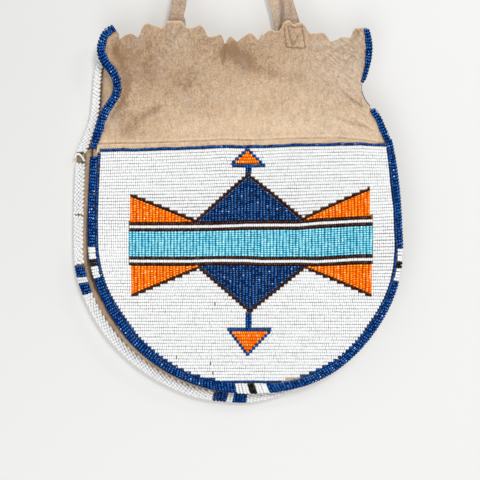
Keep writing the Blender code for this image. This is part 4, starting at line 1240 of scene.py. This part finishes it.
creases = (
    # lines in the photograph's frame, with width and depth in millimetres; each dents the hide and is
    # darkened with painted shade, and the long line beside the left roll is painted shadow
    (((166.8, 23), (166.4, 33), (165.7, 44)), 0.5, 0.35), (((170.3, 23), (170.2, 33)), 0.5, 0.3),
    (((181.4, 26), (178, 31), (174.5, 38)), 0.5, 0.35), (((180.3, 33.6), (181.4, 35)), 0.7, 0.6),
    (((284.2, 27.5), (285, 37), (286.5, 47)), 0.5, 0.9),
    (((286.4, 47.4), (296, 48.3), (305, 48.4)), 0.5, 0.7),
    (((301.8, 26.5), (303.4, 36), (305.1, 47.7)), 0.5, 0.9), (((287.4, 27), (292.4, 45.8)), 0.5, 0.8),
    (((299, 33), (293.8, 44.6)), 0.5, 0.5), (((287, 25.4), (294, 28), (301.5, 26.4)), 0.5, 0.6),
    (((289, 23), (291.5, 26), (293.5, 27.5)), 0.5, 0.6), (((341, 92), (352, 99), (362, 106)), 0.7, 0.6),
    (((351, 118), (362, 125), (372, 130)), 0.7, 0.6), (((346, 103), (354, 110), (366, 116)), 0.7, 0.4),
    (((338, 117), (350, 123), (365, 127)), 1.2, 0.8), (((350, 100), (357, 103), (362, 107)), 1.1, 0.6),
    (((343, 55), (330, 47), (318, 50)), 1.2, 0.35),
    (((352, 42), (336, 50), (322, 62)), 0.9, 0.3), (((356, 45), (342, 54), (328, 70)), 0.9, 0.3),
    (((358, 50), (348, 60), (338, 76)), 1.0, 0.3),
    # painted shadow beside the left roll
    (((119, 56), (124, 72), (127, 88), (122, 103), (113, 118)), 2.2, 0.55),
    (((123, 98), (112, 116), (104, 132)), 1.6, 0.5), (((225, 46), (222, 54), (224, 62)), 1.6, 0.8),
    (((206, 88), (214, 88.5), (221, 89)), 0.7, 0.25), (((200, 114), (212, 115), (222, 116)), 0.7, 0.2),
    (((120, 74), (126, 69), (130, 66)), 0.6, 0.3), (((121, 79), (128, 76), (134, 74)), 0.6, 0.3),
    (((121, 84), (127, 86), (132, 89)), 0.6, 0.3), (((119, 70), (122, 62), (124, 56)), 0.6, 0.3),
    (((222, 48), (214, 54), (205, 62)), 0.6, 0.3), (((221, 54), (213, 61), (203, 70)), 0.6, 0.3),
    (((219, 44), (208, 50), (198, 59)), 0.6, 0.25), (((224, 47), (224.5, 55), (222, 64)), 0.6, 0.6),
    (((232, 46), (240, 52), (252, 56)), 0.6, 0.2), (((357, 30.6), (357.8, 31.6)), 0.9, 1.0),
    (((126, 132), (140, 118), (158, 108)), 3.0, 0.7), (((240, 60), (262, 72), (300, 78)), 4.0, 0.5),
)
footSewing = (
    ((284.2, 28), (285, 37), (286.5, 47)), ((286.4, 47.6), (296, 48.3), (305, 48.4)),
    ((302, 27.5), (303.4, 36), (305.1, 47.7)), ((287.6, 27.5), (289.8, 36), (292.4, 45.8)),
    ((298.6, 34), (293.8, 44.6)), ((288, 26.6), (294, 28.6), (301.5, 27.2)),
)


def distanceTo(xs, zs, path):
    best = np.full(xs.shape, 1e9)
    for a, b in zip(path, path[1:]):
        ab = np.array(b) - np.array(a)
        share = np.clip(((xs - a[0]) * ab[0] + (zs - a[1]) * ab[1]) / (ab @ ab), 0, 1)
        best = np.minimum(best, np.hypot(xs - a[0] - ab[0] * share, zs - a[1] - ab[1] * share))
    return best


def softWaves(xs, zs, size, seed):
    # smooth random swells, the same on every run
    found = np.zeros(xs.shape)
    pick = np.random.default_rng(seed)
    for _ in range(9):
        turn, phase = pick.uniform(0, math.pi), pick.uniform(0, 6.28)
        length = size * pick.uniform(0.7, 1.6)
        found += np.sin((xs * math.cos(turn) + zs * math.sin(turn)) * 6.283 / length + phase)
    return found / 9


def edgeX(line, z, out):
    points = movedOut(line, out)
    order = np.argsort(points[:, 1])
    return np.interp(z, points[order, 1], points[order, 0])


def atMouth(xs, nominal, mouthLine, top, reach):
    # heights pulled to the scalloped mouth, less and less over a reach below it
    mouth = fromTable(xs, mouthLine)
    share = np.clip(1 - (top - nominal) / reach, 0, 1)
    return nominal + (mouth - top) * share * share + 0 * xs


def seamDrop(xs):
    # the seam turns down at its right end
    return np.interp(xs, (60.0, 93.0), (0.0, 3.4))


yokeHide = {"rows": 126, "columns": 300, "hem": 62.2, "mouthReach": 26.0,
            "swell": 0.25, "swellSize": 26, "ripple": 0.12, "rippleSize": 9}


def makeYokeHide():
    h = yokeHide
    top, bite = outline["mouth"], outline["bite"]
    s = np.linspace(0, 1, h["columns"])[None, :]
    nominal = np.linspace(h["hem"], top, h["rows"])[:, None]
    left = edgeX(sideLines["frontLeft"], nominal, bite)
    right = edgeX(sideLines["frontRight"], nominal, bite)
    xs = left + (right - left) * s
    zs = atMouth(xs, nominal, mouthLine, top, h["mouthReach"])
    ys = yokeY(xs, zs) + h["swell"] * softWaves(xs, zs, h["swellSize"], 3)
    ys = ys + h["ripple"] * softWaves(xs, zs, h["rippleSize"], 4)
    px, py = xs / photoScale + 245, 240 - zs / photoScale
    tone = 0.38 + 0.26 * np.clip((top - zs) / 75, 0, 1) + 0 * xs
    for *place, amount in tones:
        tone = tone + amount * spot(px, py, *place)
    for path, width, depth in creases:
        mark = hump(distanceTo(px, py, path) * photoScale, 0.0, width)
        ys = ys + min(depth, 0.5) * mark * 0.8
        # painted shade darkens the hide along each crease
        tone = tone - min(0.28, 0.42 * depth) * mark
    worn = sum(amount * spot(px, py, *place) for *place, amount in wornSpots)
    rust = sum(amount * spot(px, py, *place) for *place, amount in rustSpots)
    fade = np.clip((zs - 66) / 6, 0, 1)
    ys = ys * fade + yokeY(xs, zs) * (1 - fade)
    # the seam's shadow line, and the pale cut edge of the mouth
    fold = outline["fold"]
    seam = fold + lift(xs, fold * np.ones_like(xs)) + 0.5 - seamDrop(xs)
    tone = tone - 0.24 * hump(zs, seam, 0.5) + 0.22 * hump(zs - seam, 1.2, 0.6)
    rim = np.zeros_like(xs)
    rim[-2], rim[-1] = 0.35, 1.0
    hideSheet("front_yoke_hide_sheet", "front_yoke_hide", "hide", np.stack([xs, ys, zs], 2),
              outline["hide"], "hide", {"tone": tone, "rim": rim, "worn": worn, "rust": rust})


def sewFoot():
    # the sewing that holds the right strap's foot, as it shows through the front
    strings = []
    for path in footSewing:
        line = evenly(np.array([traced(*p) for p in path]), 0.7)
        points = np.stack([line[:, 0], yokeY(*line.T) - 0.72, line[:, 1]], 1)
        strings.append(stringAlong(points, stitchSize["pitch"]))
    stringBeads("foot_stitches", "front_yoke_hide", strings, stitchSize, "thread", 8, "hide_shaded")


def roundHeights(steps):
    # heights from the middle of the round bottom down, closer together lower down
    turns = np.radians(np.linspace(2, 88, steps))
    return -(outline["radius"] + outline["bite"]) * np.sin(turns)


def makePanelHide():
    # its top edge stands proud over the yoke's hem
    upper = np.concatenate([np.linspace(outline["fold"] - 0.3, 58, 12), np.linspace(56, 0, 26)])
    nominal = np.concatenate([upper, roundHeights(40)])[:, None]
    s = np.linspace(0, 1, 160)[None, :]
    line = movedOut(roundLine, outline["bite"])
    low = np.argmin(line[:, 1])
    left = np.interp(nominal, line[: low + 1][::-1, 1], line[: low + 1][::-1, 0])
    right = np.interp(nominal, line[low:, 1], line[low:, 0])
    proud = np.clip((nominal - 57.5) / 4.0, 0, 1)
    left, right = left + 2.6 * proud, right - 1.9 * proud
    xs = left + (right - left) * s
    zs = nominal + lift(xs, nominal + 0 * xs) - proud * seamDrop(xs)
    ys = bellyY(zs) - 1.15 * proud - 0.25 * proud * softWaves(xs, zs, 40, 8)
    # darker under the beads than on its proud top strip: painted shade between the beads, lifted where
    # the border's beads are lost
    tone = 0.72 + 0.15 * softWaves(xs, zs, 30, 12) - 0.62 * (1 - proud)
    tone = tone + 0.5 * spot(xs, zs, 30, -90, 8, 10)  # bare where the border's beads are lost
    rim = np.zeros_like(xs)
    rim[0] = 0.8
    hideSheet("beaded_panel_hide_sheet", "beaded_panel_hide", "hide", np.stack([xs, ys, zs], 2),
              0.9, "hide", {"tone": tone, "rim": rim}, flip=True)


def makeBackHide():
    top = outline["mouth"] - outline["backLow"]
    left = np.concatenate([backRound[: len(backRound) // 2][::-1], sideLines["backLeft"][1:]])
    right = np.concatenate([backRound[len(backRound) // 2 :], sideLines["backRight"][1:]])
    upper = np.linspace(top, -outline["backLow"], 120)
    nominal = np.concatenate([upper, roundHeights(48) - outline["backLow"]])[:, None]
    s = np.linspace(0, 1, 200)[None, :]
    leftX = edgeX(left, nominal, outline["bite"])
    rightX = edgeX(right, nominal, outline["bite"])
    xs = leftX + (rightX - leftX) * s
    zs = atMouth(xs, nominal, backMouth, top, 24.0)
    inner = np.clip(np.minimum(s, 1 - s) * 12, 0, 1)
    ys = outline["depth"] / 2 + inner * (0.4 * softWaves(xs, zs, 46, 21)
                                         + 0.12 * softWaves(xs, zs, 12, 22))
    tone = 0.55 + 0.1 * softWaves(xs, zs, 60, 23) + 0.08 * softWaves(xs, zs, 18, 24)
    tone = tone - 0.18 * (1 - np.clip(np.minimum(s, 1 - s) * 9, 0, 1))
    rim = np.zeros_like(xs)
    rim[0] = 1.0
    hideSheet("back_hide_sheet", "back_hide", "hide", np.stack([xs, ys, zs], 2),
              outline["hide"], "hide", {"tone": tone, "rim": rim})


gusset = {
    "hide": 0.8,
    "flange": 1.25,  # from the middle of a hide to the middle of the gusset's flange on it
    "backInset": 3.4,  # from the edge to where the wall meets the back flange
    "sag": 1.5,
    "crease": 0.45,
}


def gussetGrid(front, back, frontInset, frontTip, seed):
    # across: out under the front edging, down the wall, out under the back edging
    wall = np.linspace(0, 1, 15)
    fade = np.sin(math.pi * wall) ** 0.8
    backInset = gusset["backInset"]
    rows = []

    def at(station, inset, y):
        x, z, outX, outZ = station
        return (x - outX * inset, y, z - outZ * inset)

    for i, (near, far) in enumerate(zip(front, back)):
        x, z, outX, outZ = near
        yf = float(frontY(x - outX * frontInset, z - outZ * frontInset)) + gusset["flange"]
        yb = outline["depth"] / 2 - gusset["flange"]
        ring = [at(near, inset, yf) for inset in np.linspace(frontTip, frontInset, 4)[:-1]]
        sag = gusset["sag"] + 0.8 * math.sin(i * 0.11 + seed) + 0.5 * math.sin(i * 0.043 + 2 * seed)
        crease = gusset["crease"] * math.sin(i * 0.19 + 1.3 * seed)
        for w, f in zip(wall, fade):
            inset = frontInset + (backInset - frontInset) * w + sag * f
            inset += crease * math.sin(w * 9 + 0.3 * math.sin(i * 0.07)) * f * 0.6
            x, z, outX, outZ = near + (far - near) * w
            size = math.hypot(outX, outZ)
            ring.append(at((x, z, outX / size, outZ / size), inset, yf + (yb - yf) * w))
        ring += [at(far, inset, yb) for inset in np.linspace(backInset, -outline["bite"], 4)[1:]]
        rows.append(ring)
    return np.array(rows)


def gussetTone(grid, seed, dark, base):
    # a painted shadow where it lies under the front, darkest in a line beside the roll, with a paler
    # strip behind that
    along = np.arange(grid.shape[0])[:, None]
    across = np.linspace(0, 1, grid.shape[1])[None, :]
    tone = base + 0.06 * np.sin(along * 0.09 + seed) + 0.05 * np.sin(across * 22 + along * 0.02)
    # painted shadow: a dark line where the front edging shades the gusset
    tone = tone - 1.0 * hump(across, dark, 0.06) + 0.55 * hump(across - dark, 0.15, 0.07)
    return tone + 0.06 * np.sin(along * 0.31 + across * 5)


def resampledLine(line, count):
    along = lengthsAlong(line[:, :2])
    places = np.linspace(0, along[-1], count)
    return np.stack([np.interp(places, along, line[:, i]) for i in range(4)], 1)


def makeGusset():
    front, back = resampledLine(roundLine, 225), resampledLine(backRound, 225)
    grid = gussetGrid(front, back, 3.3, -outline["bite"] + 0.2, 1.0)
    hideSheet("side_gusset_round", "side_gusset", "hide_shaded", grid, gusset["hide"], "gusset",
              {"tone": gussetTone(grid, 1, 0.59, 0.34)})
    foot = 4  # rows of each side strip that hang down inside the round part
    for word, side, trimmed in (("Left", -1, None), ("Right", 1, -14)):
        lines = [resampledLine(sideLines[edge + word][:trimmed], 46) for edge in ("front", "back")]
        for line in lines:
            line[:, 1] -= np.interp(np.arange(len(line)), (0, foot), (4.0, 0.0))
        grid = gussetGrid(*lines, 4.4, 2.9, 2.0 + side)
        grid[:foot, :, 0] -= side * 0.7
        hideSheet("side_gusset_" + word.lower(), "side_gusset", "hide_shaded", grid,
                  gusset["hide"], "gusset", {"tone": gussetTone(grid, 2 + side, 0.86, 0.98)},
                  flip=side < 0)


makeYokeHide()
sewFoot()
makePanelHide()
makeBackHide()
makeGusset()
print("hides cut")


# ---- strap handles
handles = {
    "front": {"middle": -7.4, "halfSpan": 37.6, "axis": 148.0, "rise": 85.0, "y": -7.93,
              "footLow": 126.6, "legs": (1.0, 0.68), "spread": 0.0, "tone": 0.0},
    "rear": {"middle": -11.6, "halfSpan": 33.6, "axis": 142.0, "rise": 91.0, "y": 6.3,
             # the rear strap's tone paints it paler, lifting the shade it lies in behind the front
             # strap and hide
             "footLow": 120.6, "legs": (0.78, 1.02), "spread": 2.7, "tone": 0.34},
    "width": 9.0, "thickness": 2.2, "lean": math.radians(10), "foot": 12.0, "footThick": 1.6,
}


def archLine(half, rise):
    # a strap's middle line: leaning legs joined by one arc, flat over the peg
    top = rise + handles["thickness"] / 2
    cos, sin = math.cos(handles["lean"]), math.sin(handles["lean"])
    radius = (top * sin - half * cos) / ((1 - sin) * sin - cos * cos)
    leg = (half - radius * cos) / sin
    left = [(-half + run * sin, run * cos) for run in np.linspace(0, leg, 12, endpoint=False)]
    turns = np.linspace(math.pi - handles["lean"], math.pi / 2, 14, endpoint=False)
    left += [(radius * math.cos(t), top - radius + radius * math.sin(t)) for t in turns]
    right = [(-x, z) for x, z in reversed(left)]
    return np.array([*left, (0, top), *right])


def makeHandle(word):
    # foot, leaning leg, arch and foot again, as one strap that turns flat over the peg
    h = handles[word]
    arch = archLine(h["halfSpan"], h["rise"])
    low = h["footLow"] - h["axis"]
    foot = np.array([(-h["halfSpan"], z) for z in np.linspace(low, -2.5, 8)])
    line = smoothCurve(np.concatenate([foot, arch, foot[::-1] * (-1, 1)]), 1.6)
    along = lengthsAlong(line)
    half = along[-1] / 2
    step = np.gradient(line, axis=0)
    step /= np.linalg.norm(step, axis=1)[:, None]
    rings, tone = [], []
    turns = np.linspace(0, 2 * math.pi, 20, endpoint=False)
    for i, (x, z) in enumerate(line):
        near = min(along[i], along[-1] - along[i])
        run = near + low  # the way up the strap from its foot's top
        leftLeg = along[i] < half
        share = np.clip(run / (half + low), 0, 1)
        turn = math.pi / 2 * eased(np.clip((share - 0.22) / 0.72, 0, 1))
        if not leftLeg:
            turn = math.pi - turn
        flat = np.clip((run + 4.5) / 6.0, 0, 1)  # 0 in the foot, 1 in the strap
        leg = h["legs"][0 if leftLeg else 1]
        up = np.clip(run / 10.0, 0, 1)
        width = handles["foot"] * (1 - flat) + handles["width"] * flat * (1 + (leg - 1) * up)
        thick = handles["footThick"] * (1 - flat) + handles["thickness"] * flat
        width *= 1 + 0.05 * flat * math.sin(i * 0.43 + h["halfSpan"])
        fold = 1 - 0.18 * hump(run, 1.5, 1.2)
        ends = np.clip(near / 1.5, 0.35, 1)
        alongX, alongZ = step[i]
        broad = np.array((-alongZ * math.cos(turn), math.sin(turn), alongX * math.cos(turn)))
        face = np.cross(broad, (alongX, 0, alongZ))
        x += math.copysign(h["spread"] * (1 - share) ** 2, x)
        centre = np.array((h["middle"] + x, h["y"], h["axis"] + z))
        ring = []
        for t in turns:
            c, s = math.cos(t), math.sin(t)
            w = math.copysign(abs(c) ** 0.55, c) * width / 2 * ends
            d = math.copysign(abs(s) ** 0.75, s) * thick / 2 * fold * ends
            d *= 1 + flat * (0.12 * math.sin(3 * c + i * 0.3) - 0.10 * (1 - abs(c)))
            ring.append(centre + broad * w + face * d)
        rings.append(ring)
        shade = 0.45 + h["tone"] + 0.05 * math.sin(i * 0.3) + 0.04 * math.sin(i * 0.83 + 1)
        # painted shadow where the strap rises from behind the mouth, and painted shade at its fold over
        # the foot
        shade -= 0.6 * hump(run, -3.2, 1.0) + 0.16 * hump(run, 0.8, 0.9)
        tone.append(shade - 0.10 * (1 - np.abs(np.cos(turns))))
    node = word + "_handle"
    tube(node + "_strap", (node, node + "_foot_left", node + "_foot_right"), "hide",
         np.array(rings), np.array(tone))


makeHandle("front")
makeHandle("rear")
print("straps made")


for name, (piece, nodes, slot) in pieces.items():
    if name.startswith("front_handle"):
        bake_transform(piece)
    elif name.startswith("rear_handle"):
        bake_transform(piece)
    elif name in ("side_gusset_left", "side_gusset_right"):
        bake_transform(piece)
    elif name.startswith(("front_yoke", "yoke_edging", "foot_stitches")):
        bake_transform(piece)
    else:
        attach(piece, "bag")
    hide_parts(*nodes)


# ---- backdrop, light and camera
stageLook = {
    "wallY": 16.0,
    "floor": -520.0,
    "bend": 180.0,  # how far the wall takes to curve into the floor
    "halfWidth": 1800.0,
    "reach": -2600.0,
    "wall": (0.81, 0.81, 0.795),
    "glow": 0.16,
    "sky": 0.40,
    "lens": 100,
    "camera": (0.0041, -0.888, -0.233),
}


def makeBackdrop():
    material, n = newFinish("paleBackdrop")
    place = n.add("ShaderNodeTexCoord", out=3)
    grain = n.noise(place, 900, 2, 0.5)
    colour = n.mix(grain * 0.05, stageLook["wall"], (0.79, 0.79, 0.78))
    # the backdrop is painted darker towards the left: a painted falloff of light
    sides = n.add("ShaderNodeSeparateXYZ", {}, {0: place}).socket.node.outputs
    left = ((0.06 - Wire(n, sides[0])) * 3.2).clamped()
    left = left * ((Wire(n, sides[2]) + 0.5) * 2.5).clamped()
    colour = n.mix(left, colour, (0.70, 0.70, 0.685))
    wall = n.add("ShaderNodeBsdfDiffuse", {}, {"Color": colour})
    clear = n.add("ShaderNodeBsdfTransparent")
    rays = n.add("ShaderNodeLightPath").socket.node.outputs
    seen = Wire(n, rays["Is Camera Ray"]) + Wire(n, rays["Is Glossy Ray"])
    seen = seen + Wire(n, rays["Is Transmission Ray"])
    behind = n.add("ShaderNodeNewGeometry", out=6)
    # part of the wall glows, and its glow is painted darker towards the left as well
    light = n.mix(left, (0.88, 0.88, 0.875), (0.79, 0.79, 0.775))
    glow = n.add("ShaderNodeEmission", {}, {"Color": light, "Strength": 1.0})
    wall = n.add("ShaderNodeMixShader", {}, {0: stageLook["glow"], 1: wall, 2: glow})
    share = (seen * (1 - behind)).clamped()
    closeFinish(n, n.add("ShaderNodeMixShader", {}, {0: share, 1: clear, 2: wall}))
    # a wall close behind the bag, curving forward to a floor far below it
    wallY, floor, bend = stageLook["wallY"], stageLook["floor"], stageLook["bend"]
    profile = [(wallY, 900.0), (wallY, floor + bend)]
    for t in np.linspace(0, math.pi / 2, 9)[1:]:
        profile.append((wallY - bend + bend * math.cos(t), floor + bend - bend * math.sin(t)))
    profile.append((stageLook["reach"], floor))
    verts = [((side * stageLook["halfWidth"] + 4) * mm, y * mm, (z + bagOrigin[2]) * mm)
             for y, z in profile for side in (-1, 1)]
    faces = [(k, k + 2, k + 3, k + 1) for k in range(0, 2 * len(profile) - 2, 2)]
    mesh = bpy.data.meshes.new("backdrop")
    mesh.from_pydata(verts, [], faces)
    mesh.materials.append(material)
    mesh.shade_smooth()
    objectFrom("backdrop", mesh)


lamps = {
    # place in metres, size and power
    "key": ((0.27, -1.60, 0.15), 0.20, 9.9),
    "side": ((0.95, -1.35, 0.55), 0.36, 2.9),
    "glint": ((0.3, -1.5, 0.5), 0.14, 2.0),
    "fill": ((-0.25, -1.4, -0.95), 1.2, 9.5),
    "backLight": ((-0.6, 1.7, 0.3), 0.9, 20),
}


def makeLamp(name, place, size, power):
    data = bpy.data.lights.new(name, "AREA")
    data.shape = "SQUARE"
    data.size = size
    data.energy = power
    lamp = objectFrom(name, data)
    lamp.location = place
    way = Vector((0.0, 0.0, -0.2)) - Vector(place)
    lamp.rotation_mode = "QUATERNION"
    lamp.rotation_quaternion = way.to_track_quat("-Z", "Y")


def makeWorld():
    world = bpy.data.worlds.new("studio")
    bpy.context.scene.world = world
    world.use_nodes = True
    world.node_tree.nodes.clear()
    n = Nodes(world.node_tree)
    rays = n.add("ShaderNodeLightPath").socket.node.outputs
    seen = Wire(n, rays["Is Camera Ray"]).clamped()
    colour = n.mix(seen, (1.0, 1.0, 1.0), (0.86, 0.86, 0.85))
    strength = seen * (1 - stageLook["sky"]) + stageLook["sky"]
    n.add("ShaderNodeOutputWorld", {}, {
        "Surface": n.add("ShaderNodeBackground", {}, {0: colour, 1: strength})})


def makeCamera():
    data = bpy.data.cameras.new("camera")
    data.lens = stageLook["lens"]
    data.sensor_width = 36
    data.clip_start, data.clip_end = 0.01, 20
    camera = objectFrom("camera", data)
    camera.location = stageLook["camera"]
    camera.rotation_euler = (math.radians(90), 0, 0)
    bpy.context.scene.camera = camera


makeBackdrop()
for name, (place, size, power) in lamps.items():
    makeLamp(name, place, size, power)
makeWorld()
makeCamera()
bpy.context.scene.view_settings.view_transform = "Standard"
print("stage set")
